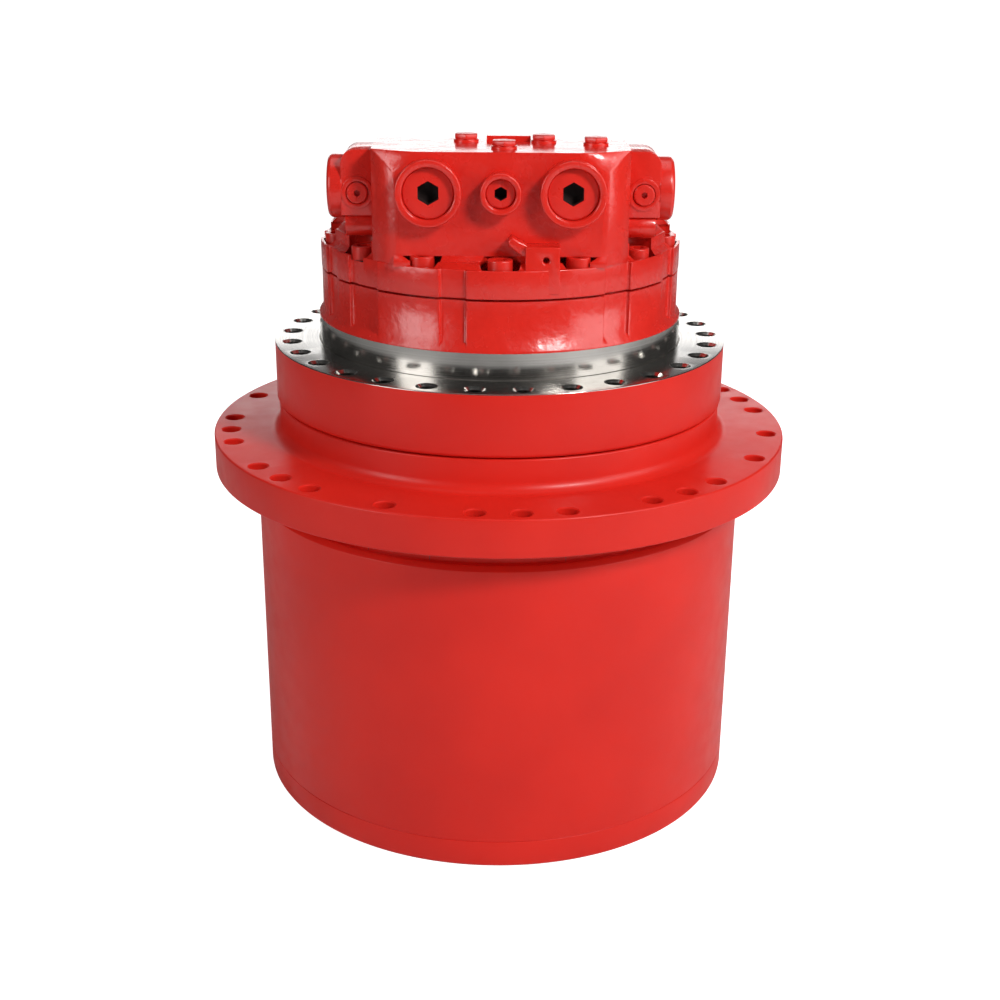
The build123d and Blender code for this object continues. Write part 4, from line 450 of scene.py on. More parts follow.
def swell(piece: bpy.types.Object, low: float, high: float, lobes: Sequence[tuple[float, float]], out: float) -> None:
    """Pull lobes out of a turned wall.

    Args:
        piece: The turned piece.
        low: The lobes' lower end.
        high: The lobes' upper end.
        lobes: Where each lobe starts and ends, in degrees from the front.
        out: The factor by which a lobe's radius grows.
    """

    def wanted(face: bpy.types.MeshPolygon) -> bool:
        """Tell whether a face belongs to a lobe."""
        middle = face.center
        angle = math.degrees(math.atan2(middle.x, -middle.y))
        near = any(start < angle < end or start < angle + 360 < end for start, end in lobes)
        outer = face.normal.dot(Vector((middle.x, middle.y, 0)).normalized()) > 0.5
        return near and outer and low < middle.z < high

    choose(piece, "FACE", wanted)
    bpy.ops.mesh.extrude_region_move(TRANSFORM_OT_translate={"value": (0, 0, 0)})
    bpy.ops.transform.resize(value=(out, out, 1.0), center_override=(0, 0, 0))
    leave_edit()


# Finishes


def new_material(name: str) -> tuple[bpy.types.Material, bpy.types.NodeTree, bpy.types.Node]:
    """Start a node material.

    Args:
        name: The material's name.

    Returns:
        The material, its node tree and its shader.
    """
    material = bpy.data.materials.new(name)
    material.use_nodes = True
    tree = material.node_tree
    return material, tree, tree.nodes["Principled BSDF"]


def coordinates(tree: bpy.types.NodeTree, scale: Corner = (1.0, 1.0, 1.0)) -> bpy.types.NodeSocket:
    """Give object coordinates, stretched by a scale.

    Args:
        tree: The node tree.
        scale: The stretch along each axis.

    Returns:
        The socket that holds the coordinates.
    """
    source = tree.nodes.new("ShaderNodeTexCoord")
    mapping = tree.nodes.new("ShaderNodeMapping")
    mapping.inputs["Scale"].default_value = scale
    tree.links.new(source.outputs["Object"], mapping.inputs["Vector"])
    return mapping.outputs["Vector"]


def noise(tree: bpy.types.NodeTree, where: bpy.types.NodeSocket, scale: float, detail: float = 3.0) -> bpy.types.NodeSocket:
    """Add a noise texture.

    Args:
        tree: The node tree.
        where: The coordinates.
        scale: The number of blots per metre.
        detail: The number of finer layers.

    Returns:
        The socket with the noise value.
    """
    texture = tree.nodes.new("ShaderNodeTexNoise")
    texture.inputs["Scale"].default_value = scale
    texture.inputs["Detail"].default_value = detail
    tree.links.new(where, texture.inputs["Vector"])
    return texture.outputs["Fac"]


def spread(tree: bpy.types.NodeTree, value: bpy.types.NodeSocket, low: float, high: float) -> bpy.types.NodeSocket:
    """Map a noise value from its usual span to another.

    Args:
        tree: The node tree.
        value: The noise value.
        low: What 0.3 becomes.
        high: What 0.7 becomes.

    Returns:
        The mapped value.
    """
    node = tree.nodes.new("ShaderNodeMapRange")
    node.inputs["From Min"].default_value = 0.3
    node.inputs["From Max"].default_value = 0.7
    node.inputs["To Min"].default_value = low
    node.inputs["To Max"].default_value = high
    tree.links.new(value, node.inputs["Value"])
    return node.outputs["Result"]


def blend_colours(tree: bpy.types.NodeTree, value: bpy.types.NodeSocket, first: Colour, second: Colour) -> bpy.types.NodeSocket:
    """Blend two colours by a noise value.

    Args:
        tree: The node tree.
        value: The noise value.
        first: The colour where it is low.
        second: The colour where it is high.

    Returns:
        The socket with the colour.
    """
    ramp = tree.nodes.new("ShaderNodeValToRGB")
    ramp.color_ramp.elements[0].position = 0.35
    ramp.color_ramp.elements[0].color = (*first, 1.0)
    ramp.color_ramp.elements[1].position = 0.65
    ramp.color_ramp.elements[1].color = (*second, 1.0)
    tree.links.new(value, ramp.inputs["Fac"])
    return ramp.outputs["Color"]


def raise_bumps(
    tree: bpy.types.NodeTree,
    shader: bpy.types.Node,
    layers: Sequence[tuple[bpy.types.NodeSocket, float, float]],
) -> None:
    """Stack bump layers on a shader.

    Args:
        tree: The node tree.
        shader: The shader whose normal is bumped.
        layers: Height, strength and depth in metres of each layer.
    """
    previous = None
    for height, strength, depth in layers:
        bump = tree.nodes.new("ShaderNodeBump")
        bump.inputs["Strength"].default_value = strength
        bump.inputs["Distance"].default_value = depth
        tree.links.new(height, bump.inputs["Height"])
        if previous:
            tree.links.new(previous, bump.inputs["Normal"])
        previous = bump.outputs["Normal"]
    tree.links.new(previous, shader.inputs["Normal"])


@dataclass(frozen=True)
class Paint:
    """Red machinery paint over turned or cast metal."""

    name: str
    colour: Colour = (0.74, 0.020, 0.011)
    shade: Colour = (0.67, 0.017, 0.010)
    gloss: tuple[float, float] = (0.26, 0.36)
    coat: float = 0.25
    shine: float = 0.5
    grain: float = 0.0
    peel: float = 0.00004

    def material(self) -> bpy.types.Material:
        """Build the paint: blotches, uneven gloss, orange peel and the casting's grain below it.

        Returns:
            The material.
        """
        material, tree, shader = new_material(self.name)
        where = coordinates(tree)
        blotches = noise(tree, where, 9.0, 2.0)
        tree.links.new(blend_colours(tree, blotches, self.shade, self.colour), shader.inputs["Base Color"])
        tree.links.new(spread(tree, noise(tree, where, 55.0), *self.gloss), shader.inputs["Roughness"])
        shader.inputs["Specular IOR Level"].default_value = self.shine
        shader.inputs["Coat Weight"].default_value = self.coat
        shader.inputs["Coat Roughness"].default_value = 0.12
        layers = [(noise(tree, where, 700.0, 1.0), 0.5, self.peel)]
        if self.grain:
            layers.append((noise(tree, where, 260.0, 4.0), 0.8, self.grain))
            layers.append((noise(tree, where, 45.0, 2.0), 0.9, self.grain * 4))
        raise_bumps(tree, shader, layers)
        return material


@dataclass(frozen=True)
class TurnedSteel:
    """Bare machined steel with fine turning rings about the drive's axis."""

    name: str
    colour: Colour = (0.54, 0.52, 0.49)
    gloss: tuple[float, float] = (0.12, 0.24)
    rings: float = 900.0

    def material(self) -> bpy.types.Material:
        """Build the steel: rings from the distance to the axis, stains and uneven gloss.

        Returns:
            The material.
        """
        material, tree, shader = new_material(self.name)
        where = coordinates(tree)
        flat = tree.nodes.new("ShaderNodeVectorMath")
        flat.operation = "MULTIPLY"
        flat.inputs[1].default_value = (1.0, 1.0, 0.0)
        tree.links.new(where, flat.inputs[0])
        far = tree.nodes.new("ShaderNodeVectorMath")
        far.operation = "LENGTH"
        tree.links.new(flat.outputs["Vector"], far.inputs[0])
        parts = tree.nodes.new("ShaderNodeSeparateXYZ")
        tree.links.new(where, parts.inputs["Vector"])
        across = tree.nodes.new("ShaderNodeCombineXYZ")
        tree.links.new(far.outputs["Value"], across.inputs["X"])
        tree.links.new(parts.outputs["Z"], across.inputs["Y"])
        rings = noise(tree, across.outputs["Vector"], self.rings, 2.0)
        stains = noise(tree, where, 14.0, 4.0)
        shade = tuple(channel * 0.72 for channel in self.colour)
        tree.links.new(blend_colours(tree, stains, shade, self.colour), shader.inputs["Base Color"])
        shader.inputs["Metallic"].default_value = 1.0
        tree.links.new(spread(tree, rings, *self.gloss), shader.inputs["Roughness"])
        raise_bumps(tree, shader, [(rings, 0.25, 0.00003)])
        return material


@dataclass(frozen=True)
class PlainMetal:
    """Metal of the inner pieces: steel, iron or bronze."""

    name: str
    colour: Colour
    gloss: tuple[float, float] = (0.25, 0.45)
    grain: float = 0.00003

    def material(self) -> bpy.types.Material:
        """Build the metal: faint stains, uneven gloss and a fine grain.

        Returns:
            The material.
        """
        material, tree, shader = new_material(self.name)
        where = coordinates(tree)
        shade = tuple(channel * 0.8 for channel in self.colour)
        tree.links.new(blend_colours(tree, noise(tree, where, 30.0), shade, self.colour), shader.inputs["Base Color"])
        shader.inputs["Metallic"].default_value = 1.0
        tree.links.new(spread(tree, noise(tree, where, 160.0), *self.gloss), shader.inputs["Roughness"])
        raise_bumps(tree, shader, [(noise(tree, where, 900.0), 0.4, self.grain)])
        return material


@dataclass(frozen=True)
class Dull:
    """A dull surface: rubber, sintered lining and the near-black painted shade in deep recesses."""

    name: str
    colour: Colour
    gloss: tuple[float, float] = (0.65, 0.85)

    def material(self) -> bpy.types.Material:
        """Build the dull surface.

        Returns:
            The material.
        """
        material, tree, shader = new_material(self.name)
        where = coordinates(tree)
        shade = tuple(channel * 0.7 for channel in self.colour)
        tree.links.new(blend_colours(tree, noise(tree, where, 60.0), shade, self.colour), shader.inputs["Base Color"])
        tree.links.new(spread(tree, noise(tree, where, 200.0), *self.gloss), shader.inputs["Roughness"])
        raise_bumps(tree, shader, [(noise(tree, where, 1200.0), 0.5, 0.00004)])
        return material


class Coat(Enum):
    """The finishes of the drive."""

    TURNED_PAINT = "turned_red_paint"
    CAST_PAINT = "cast_red_paint"
    FITTING_PAINT = "fitting_red_paint"
    BARE_STEEL = "bare_turned_steel"


class Finishes:
    """All finishes, built once."""

    def __init__(self) -> None:
        """Build the materials of the outside."""
        self.outside: dict[Coat, bpy.types.Material] = {
            Coat.TURNED_PAINT: Paint("turned_red_paint", gloss=(0.32, 0.40), coat=0.03, shine=0.3).material(),
            Coat.CAST_PAINT: Paint("cast_red_paint", gloss=(0.22, 0.30), coat=0.35, grain=0.0003).material(),
            Coat.FITTING_PAINT: Paint("fitting_red_paint", gloss=(0.26, 0.34), grain=0.00008).material(),
            Coat.BARE_STEEL: TurnedSteel("bare_turned_steel").material(),
        }
        # Painted shade: a near-black red material put on the faces deep in the hexagon sockets and screw-head pockets,
        # where shadow falls.
        self.painted_recess_shade = Dull("painted_socket_shade", (0.022, 0.007, 0.006)).material()
        self.inside: dict[str, bpy.types.Material] = {
            "red_paint": self.outside[Coat.TURNED_PAINT],
            "red_steel_casting": self.outside[Coat.TURNED_PAINT],
            "machined_steel": PlainMetal("machined_steel", (0.58, 0.58, 0.59), (0.18, 0.32)).material(),
            "gear_steel": PlainMetal("gear_steel", (0.38, 0.38, 0.40), (0.25, 0.40)).material(),
            "dark_steel": PlainMetal("dark_steel", (0.13, 0.13, 0.135), (0.40, 0.55)).material(),
            "cast_iron": PlainMetal("cast_iron", (0.24, 0.24, 0.25), (0.45, 0.60), 0.0001).material(),
            "bronze": PlainMetal("bronze", (0.62, 0.42, 0.20)).material(),
            "seal_rubber": Dull("seal_rubber", (0.02, 0.02, 0.022)).material(),
            "friction_lining": Dull("friction_lining", (0.12, 0.08, 0.05)).material(),
        }

    def dress(self, piece: bpy.types.Object, coat: Coat, body: Body, nodes: Sequence[str]) -> None:
        """Finish a new piece, attach it to its body and hide the CAD nodes that it stands for.

        Args:
            piece: The finished mesh.
            coat: Its finish.
            body: The body it moves with.
            nodes: The CAD nodes that it stands for.
        """
        piece.data.materials.clear()
        piece.data.materials.append(self.outside[coat])
        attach(piece, body.value)
        if nodes:
            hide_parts(*nodes)
        LOG.info("%s: %d faces", piece.name, len(piece.data.polygons))

    def darken(self, piece: bpy.types.Object, test: Callable[[Vector], bool]) -> None:
        """Paint shade onto some faces of a dressed piece: a near-black material where deep recesses fall into shade.

        Args:
            piece: The dressed piece.
            test: Tells whether a face's middle lies deep in a recess, where the shade is painted.
        """
        piece.data.materials.append(self.painted_recess_shade)
        for face in piece.data.polygons:
            if test(face.center):
                face.material_index = 1

    def dress_nodes(self, frame: dict) -> None:
        """Give every CAD node that stays the finish of its slot.

        Args:
            frame: The loaded frame.
        """
        for part in frame["record"]["subparts"]:
            node = frame["nodes"][part["node"]]
            node.data.materials.clear()
            node.data.materials.append(self.inside[part["material_slot"]])


# Sub-assemblies


@dataclass
class Drum:
    """The drum with the end cover under it."""

    radius: float = 0.230975
    bore: float = 0.188375
    cover_height: float = 0.0265
    top: float = 0.2929
    chamfer: float = 0.004
    foot_round: float = 0.0045
    seam: float = 0.0005
    screw_circle: float = 0.213975
    screw_count: int = 24
    screw_head: float = 0.009
    screw_head_height: float = 0.012
    plug_circle: float = 0.114
    plug_radius: float = 0.018
    plug_sink: float = 0.008
    plug_angles: tuple[float, ...] = (90.0, 270.0, 0.0)

    def cover(self) -> bpy.types.Object:
        """Turn the end cover and cut its screw and plug seats.

        Returns:
            The cover.
        """
        piece = turn("end_cover_shell", (
            (0.0, 0.0), (self.radius, 0.0, self.foot_round), (self.radius, self.cover_height, self.seam),
            (self.radius - 0.004, self.cover_height), (0.0, self.cover_height)), closed=False)
        seat_depth = self.screw_head_height + 0.0015
        hole = round_bar(self.screw_head + 0.0006, -0.001, seat_depth)
        step = 360 / self.screw_count
        carve(piece, ring_of(hole, [(n + 0.5) * step for n in range(self.screw_count)], self.screw_circle, "holes"))
        plug_hole = round_bar(self.plug_radius + 0.0003, -0.001, self.plug_sink, 64)
        carve(piece, ring_of(plug_hole, self.plug_angles, self.plug_circle, "plug_holes"))
        smooth(piece)
        return piece

    def cover_screws(self) -> bpy.types.Object:
        """Model the cover's socket screws, pointing down into the counterbores.

        Returns:
            All screws.
        """
        screw = socket_head(self.screw_head, self.screw_head_height, 0.010)
        seat(screw, (0.0, 0.0, self.screw_head_height + 0.0015), Facing.DOWN)
        step = 360 / self.screw_count
        screws = ring_of(screw, [(n + 0.5) * step for n in range(self.screw_count)], self.screw_circle, "cover_screw_heads")
        smooth(screws)
        return screws

    def oil_plugs(self) -> bpy.types.Object:
        """Model the three sunk oil plugs.

        Returns:
            The plugs.
        """
        plug = port_plug(self.plug_radius, 0.0055, 0.017, 0.0025)
        seat(plug, (0.0, 0.0, self.plug_sink), Facing.DOWN)
        plugs = ring_of(plug, self.plug_angles, self.plug_circle, "oil_plug_heads")
        smooth(plugs)
        return plugs

    def wall(self) -> bpy.types.Object:
        """Turn the drum's wall.

        Returns:
            The drum.
        """
        low = self.cover_height
        piece = turn("drum_wall", (
            (self.bore, low), (self.radius - 0.004, low), (self.radius, low + 0.0002, self.seam),
            (self.radius, self.top - self.chamfer, 0.001), (self.radius - self.chamfer, self.top, 0.0004),
            (self.bore, self.top)))
        smooth(piece)
        return piece

    def build(self, finishes: Finishes) -> None:
        """Build and dress the cover, its fasteners and the drum.

        Args:
            finishes: The finishes.
        """
        finishes.dress(self.cover(), Coat.TURNED_PAINT, Body.TURNING, ["end_cover"])
        finishes.dress(self.cover_screws(), Coat.FITTING_PAINT, Body.TURNING, ["cover_screws"])
        finishes.dress(self.oil_plugs(), Coat.FITTING_PAINT, Body.TURNING, ["oil_plugs"])
        finishes.dress(self.wall(), Coat.TURNED_PAINT, Body.TURNING, ["ring_gear_drum"])


def socket_head(radius: float, height: float, hexagon_size: float) -> bpy.types.Object:
    """Model a socket head screw's head, its foot at the origin and its socket upwards.

    Args:
        radius: The head's radius.
        height: Its height.
        hexagon_size: The socket's size across flats.

    Returns:
        The head.
    """
    head = turn("screw_head", (
        (0.0, 0.0), (radius, 0.0), (radius, height, 0.001), (0.0, height)), closed=False, segments=48)
    carve(head, hexagon(hexagon_size, height * 0.4, height + 0.001))
    return head


def port_plug(radius: float, height: float, hexagon_size: float, edge: float) -> bpy.types.Object:
    """Model a screwed plug's face, its foot at the origin and its hexagon socket upwards.

    Args:
        radius: The plug's radius.
        height: The height of its face over the foot.
        hexagon_size: The socket's size across flats.
        edge: The width of its chamfered edge.

    Returns:
        The plug.
    """
    plug = turn("plug_face", (
        (0.0, -0.012), (radius * 0.8, -0.012), (radius * 0.8, 0.0), (radius, 0.0), (radius, height - edge),
        (radius - edge, height, 0.0005), (0.0, height)), closed=False, segments=64)
    carve(plug, hexagon(hexagon_size, height - 0.012, height + 0.001))
    soften(plug, 0.0003, 1, 50.0)
    return plug


@dataclass
class Hub:
    """The hub: groove, sprocket flange with its holes, and the neck up to the seal gap."""

    groove: float = 0.221975
    groove_low: float = 0.2929
    flange_radius: float = 0.269975
    flange_low: float = 0.3169
    flange_top: float = 0.3509
    edge: float = 0.0016
    neck: float = 0.207925
    neck_top: float = 0.3804
    fillet: float = 0.010
    seal_bore: float = 0.193925
    bearing_bore: float = 0.189925
    sleeve: float = 0.199925
    sleeve_low: float = 0.2624
    hole_circle: float = 0.254475
    hole_radius: float = 0.00875
    hole_edge: float = 0.001
    divisions: int = 42
    group_starts: tuple[float, ...] = (-20.5, -10.5, -0.5, 11.5)
    extra_slot: float = 9.5

    def hole_angles(self) -> list[float]:
        """List the sprocket holes: groups of three with single holes between them.

        Returns:
            Their angles in degrees from +X.
        """
        slots = [start + step for start in self.group_starts for step in (0, 1, 2, 4, 5, 6, 8)]
        slots.append(self.extra_slot)
        return [slot * 360 / self.divisions - 90 for slot in slots]

    def body(self) -> bpy.types.Object:
        """Turn the hub and drill the flange.

        Returns:
            The hub.
        """
        piece = turn("sprocket_flange_hub", (
            (self.bearing_bore, self.sleeve_low), (self.sleeve, self.sleeve_low), (self.sleeve, self.groove_low),
            (self.groove, self.groove_low), (self.groove, self.flange_low, 0.002),
            (self.flange_radius, self.flange_low, self.edge), (self.flange_radius, self.flange_top, self.edge),
            (self.neck, self.flange_top, self.fillet), (self.neck, self.neck_top, 0.0015),
            (self.seal_bore, self.neck_top, 0.001), (self.seal_bore, self.neck_top - 0.018),
            (self.bearing_bore, self.neck_top - 0.018)))
        drill = turn("drill", (
            (0.0, self.flange_low - 0.001), (self.hole_radius, self.flange_low - 0.001),
            (self.hole_radius, self.flange_top - self.hole_edge),
            (self.hole_radius + 2 * self.hole_edge, self.flange_top + self.hole_edge),
            (0.0, self.flange_top + self.hole_edge)), closed=False, segments=40)
        carve(piece, ring_of(drill, self.hole_angles(), self.hole_circle, "drills"))
        smooth(piece)
        return piece

    def build(self, finishes: Finishes) -> None:
        """Build and dress the hub.

        Args:
            finishes: The finishes.
        """
        finishes.dress(self.body(), Coat.TURNED_PAINT, Body.TURNING, ["sprocket_hub"])


@dataclass
class FrameRing:
    """The stationary ring with its tapped steel face, and the steel pilot band over it."""

    radius: float = 0.209925
    low: float = 0.3819
    top: float = 0.4369
    chamfer: float = 0.003
    pilot: float = 0.167925
    pilot_top: float = 0.4599
    bearing_seat: float = 0.149925
    cavity: float = 0.103925
    spindle_low: float = 0.226
    hole_circle: float = 0.194925
    hole_radius: float = 0.007
    hole_sink: float = 0.0095
    hole_depth: float = 0.036
    hole_count: int = 30

    def body(self) -> bpy.types.Object:
        """Turn the ring with the spindle below it and drill its face.

        Returns:
            The ring.
        """
        piece = turn("frame_ring", (
            (self.cavity, self.spindle_low), (0.147925, self.spindle_low), (0.147925, 0.2635),
            (self.bearing_seat, 0.2635), (self.bearing_seat, 0.3599), (0.161925, 0.3599), (0.161925, 0.3979),
            (0.193925, 0.3979), (0.193925, self.low, 0.001), (self.radius, self.low, self.chamfer),
            (self.radius, self.top, 0.0007), (self.pilot + 0.0012, self.top), (self.pilot, self.top - 0.0010),
            (self.pilot, self.pilot_top), (self.cavity, self.pilot_top)))
        drill = turn("drill", (
            (0.0, self.top - self.hole_depth), (self.hole_radius, self.top - self.hole_depth + 0.003),
            (self.hole_radius, self.top - self.hole_sink + self.hole_radius),
            (self.hole_sink + 0.001, self.top + 0.001), (0.0, self.top + 0.001)), closed=False, segments=40)
        step = 360 / self.hole_count
        carve(piece, ring_of(drill, [n * step for n in range(self.hole_count)], self.hole_circle, "drills"))
        smooth(piece, 30.0)
        return piece

    def bare_faces(self, piece: bpy.types.Object, steel: bpy.types.Material) -> None:
        """Leave the ring's upper face, its holes and the pilot band bare.

        Args:
            piece: The dressed ring.
            steel: The bare steel.
        """
        piece.data.materials.append(steel)
        for face in piece.data.polygons:
            far = math.hypot(face.center.x, face.center.y)
            on_top = face.center.z > self.top - 0.0008 and far < self.radius
            in_hole = far < self.radius - 0.004 and face.center.z > self.top - self.hole_depth - 0.001
            face.material_index = 1 if (on_top or in_hole) and far > self.cavity + 0.01 else 0

    def build(self, finishes: Finishes) -> None:
        """Build and dress the ring.

        Args:
            finishes: The finishes.
        """
        piece = self.body()
        finishes.dress(piece, Coat.TURNED_PAINT, Body.STILL, ["motor_housing"])
        self.bare_faces(piece, finishes.outside[Coat.BARE_STEEL])


@dataclass
class MotorCasing:
    """The lobed casting over the pilot band and the rear flange on it, with its socket screws."""

    radius: float = 0.161225
    lobe: float = 0.003
    bolt_count: int = 14
    lobe_half: float = 8.1
    cast_lobes: tuple[tuple[float, float], ...] = ((-60.5, -52.5), (-39.9, -17.9), (-9.9, 33.1), (42.1, 60.5))
    groove_round: float = 0.0019
    lobe_round: float = 0.0008
    flange_step: float = 0.0005
    segments: int = 364
    low: float = 0.4599
    lip: float = 0.1677
    lip_height: float = 0.009
    seam: float = 0.5049
    seam_gap: float = 0.0018
    seam_depth: float = 0.006
    flange_top: float = 0.5289
    curb_inset: float = 0.006
    curb_slope: float = 0.004
    curb_top: float = 0.5429
    cavity: float = 0.121925
    bolt_circle: float = 0.150925
    bolt_seat: float = 0.5249
    bolt_head: float = 0.0105
    bolt_head_height: float = 0.0115
    bolt_hexagon: float = 0.012
    pocket: float = 0.0175
    pocket_rim: float = 0.002

    def angles(self) -> list[float]:
        """List the bolts' angles, the first at the front.

        Returns:
            Angles in degrees from +X.
        """
        return [-90 + n * 360 / self.bolt_count for n in range(self.bolt_count)]

    def lobes(self) -> list[tuple[float, float]]:
        """List the lobes: the uneven ones of the front, and one at each bolt of the back.

        Returns:
            Where each lobe starts and ends, in degrees from the front.
        """
        back = [n * 360 / self.bolt_count for n in range(3, self.bolt_count - 2)]
        return [*self.cast_lobes, *((middle - self.lobe_half, middle + self.lobe_half) for middle in back)]

    def round_grooves(self, piece: bpy.types.Object) -> None:
        """Round the lobes' sides into the wall, as cast.

        Args:
            piece: The piece with the lobes.
        """
        step = 360 / self.segments
        borders = {round(math.ceil(end / step - 0.5) % self.segments) for lobe in self.lobes() for end in lobe}

        def on_border(middle: Vector) -> bool:
            """Tell whether an edge stands on the border of a lobe."""
            place = (math.degrees(math.atan2(middle.x, -middle.y)) / step) % self.segments
            return abs(place - round(place)) < 0.05 and round(place) % self.segments in borders

        def distance(middle: Vector) -> float:
            """Measure an edge's distance from the middle between wall and lobes."""
            return math.hypot(middle.x, middle.y) - self.radius - self.lobe / 2

        reach = self.lobe / 2 + self.flange_step + 0.0002
        bevel_edges(piece, 2, lambda at: on_border(at) and 0 < distance(at) < reach, self.lobe_round, 3)
        bevel_edges(piece, 2, lambda at: on_border(at) and -reach < distance(at) < 0, self.groove_round, 4)

    def casing(self) -> bpy.types.Object:
        """Turn the casing, pull out its lobes, weld the lip on and round the cast edges.

        Returns:
            The casing.
        """
        outer = self.radius + self.lobe
        top = self.seam - self.seam_gap
        piece = turn("lobed_casing", (
            (self.cavity, self.low), (self.radius, self.low), (self.radius, top), (self.radius - self.seam_depth, top),
            (self.radius - self.seam_depth, self.seam - 0.0001), (self.cavity, self.seam - 0.0001)),
            segments=self.segments)
        swell(piece, self.low, top, self.lobes(), outer / self.radius)
        self.round_grooves(piece)
        lip = turn("lip", (
            (self.cavity + 0.01, self.low), (self.lip, self.low), (self.lip, self.low + 0.002),
            (self.radius - 0.001, self.low + self.lip_height), (self.cavity + 0.01, self.low + self.lip_height)),
            segments=self.segments)
        carve(piece, lip, "UNION")
        soften(piece, 0.0010, 3)
        smooth(piece, 50.0)
        return piece

    def head_pockets(self, top: float) -> bpy.types.Object:
        """Make the cutters of the round pockets for the screw heads, inside the rim.

        Args:
            top: The cutters' upper end.

        Returns:
            The cutters.
        """
        pockets = ring_of(round_bar(self.pocket, self.bolt_seat, top, 64), self.angles(), self.bolt_circle, "pockets")
        inside = round_bar(self.radius + self.lobe - self.pocket_rim, self.bolt_seat - 0.001, top + 0.001, 360)
        carve(pockets, inside, "INTERSECT")
        return pockets

    def in_pocket(self, at: Vector) -> bool:
        """Tell whether a point lies low in the pocket of a screw head.

        Args:
            at: The point.

        Returns:
            Whether it does.
        """
        around = (math.degrees(math.atan2(at.x, -at.y)) + 180 / self.bolt_count) % (360 / self.bolt_count)
        turned = math.radians(around - 180 / self.bolt_count)
        far = math.hypot(at.x, at.y)
        reach = math.hypot(far * math.sin(turned), far * math.cos(turned) - self.bolt_circle)
        inside = reach < self.pocket + 0.0002 and far < self.radius + self.lobe - self.pocket_rim + 0.0002
        return inside and self.bolt_seat - 0.0002 < at.z < self.flange_top - 0.0008

    def rear_flange(self) -> bpy.types.Object:
        """Turn the rear flange, pull out the lobes, weld the sloped curb on and cut the head pockets.

        Returns:
            The rear flange.
        """
        wall = self.radius + self.flange_step
        inner = self.radius - self.curb_inset
        slope = self.flange_top + self.curb_slope
        piece = turn("rear_flange", (
            (0.0, self.seam), (wall, self.seam), (wall, self.flange_top), (0.0, self.flange_top)),
            closed=False, segments=self.segments)
        swell(piece, self.seam, self.flange_top, self.lobes(), (wall + self.lobe) / wall)
        self.round_grooves(piece)
        soften(piece, 0.0011, 3)
        curb = turn("curb", (
            (0.0, self.seam + 0.002), (inner, self.seam + 0.002), (self.radius - 0.0008, self.flange_top - 0.0008),
            (inner, slope, 0.0008), (inner, self.curb_top, 0.001), (0.0, self.curb_top)),
            closed=False, segments=self.segments)
        carve(curb, block("front_cut", (-0.108, -0.2, slope - 0.0003), (0.108, -0.046925, self.curb_top + 0.01)))
        carve(piece, curb, "UNION")
        carve(piece, self.head_pockets(self.curb_top + 0.002))
        smooth(piece, 50.0)
        return piece

    def bolts(self) -> bpy.types.Object:
        """Model the socket screws of the rear flange.

        Returns:
            All screws.
        """
        head = socket_head(self.bolt_head, self.bolt_head_height, self.bolt_hexagon)
        seat(head, (0.0, 0.0, self.bolt_seat))
        bolts = ring_of(head, self.angles(), self.bolt_circle, "casing_screw_heads")
        smooth(bolts)
        return bolts

    def build(self, finishes: Finishes) -> None:
        """Build and dress the casing, the rear flange and its screws.

        Args:
            finishes: The finishes.
        """
        finishes.dress(self.casing(), Coat.CAST_PAINT, Body.STILL, ["motor_housing"])
        flange = self.rear_flange()
        finishes.dress(flange, Coat.CAST_PAINT, Body.STILL, ["rear_cover"])
        # Painted shade on the floors and walls of the screw-head pockets.
        finishes.darken(flange, self.in_pocket)
        finishes.dress(self.bolts(), Coat.FITTING_PAINT, Body.STILL, ["casing_screws"])


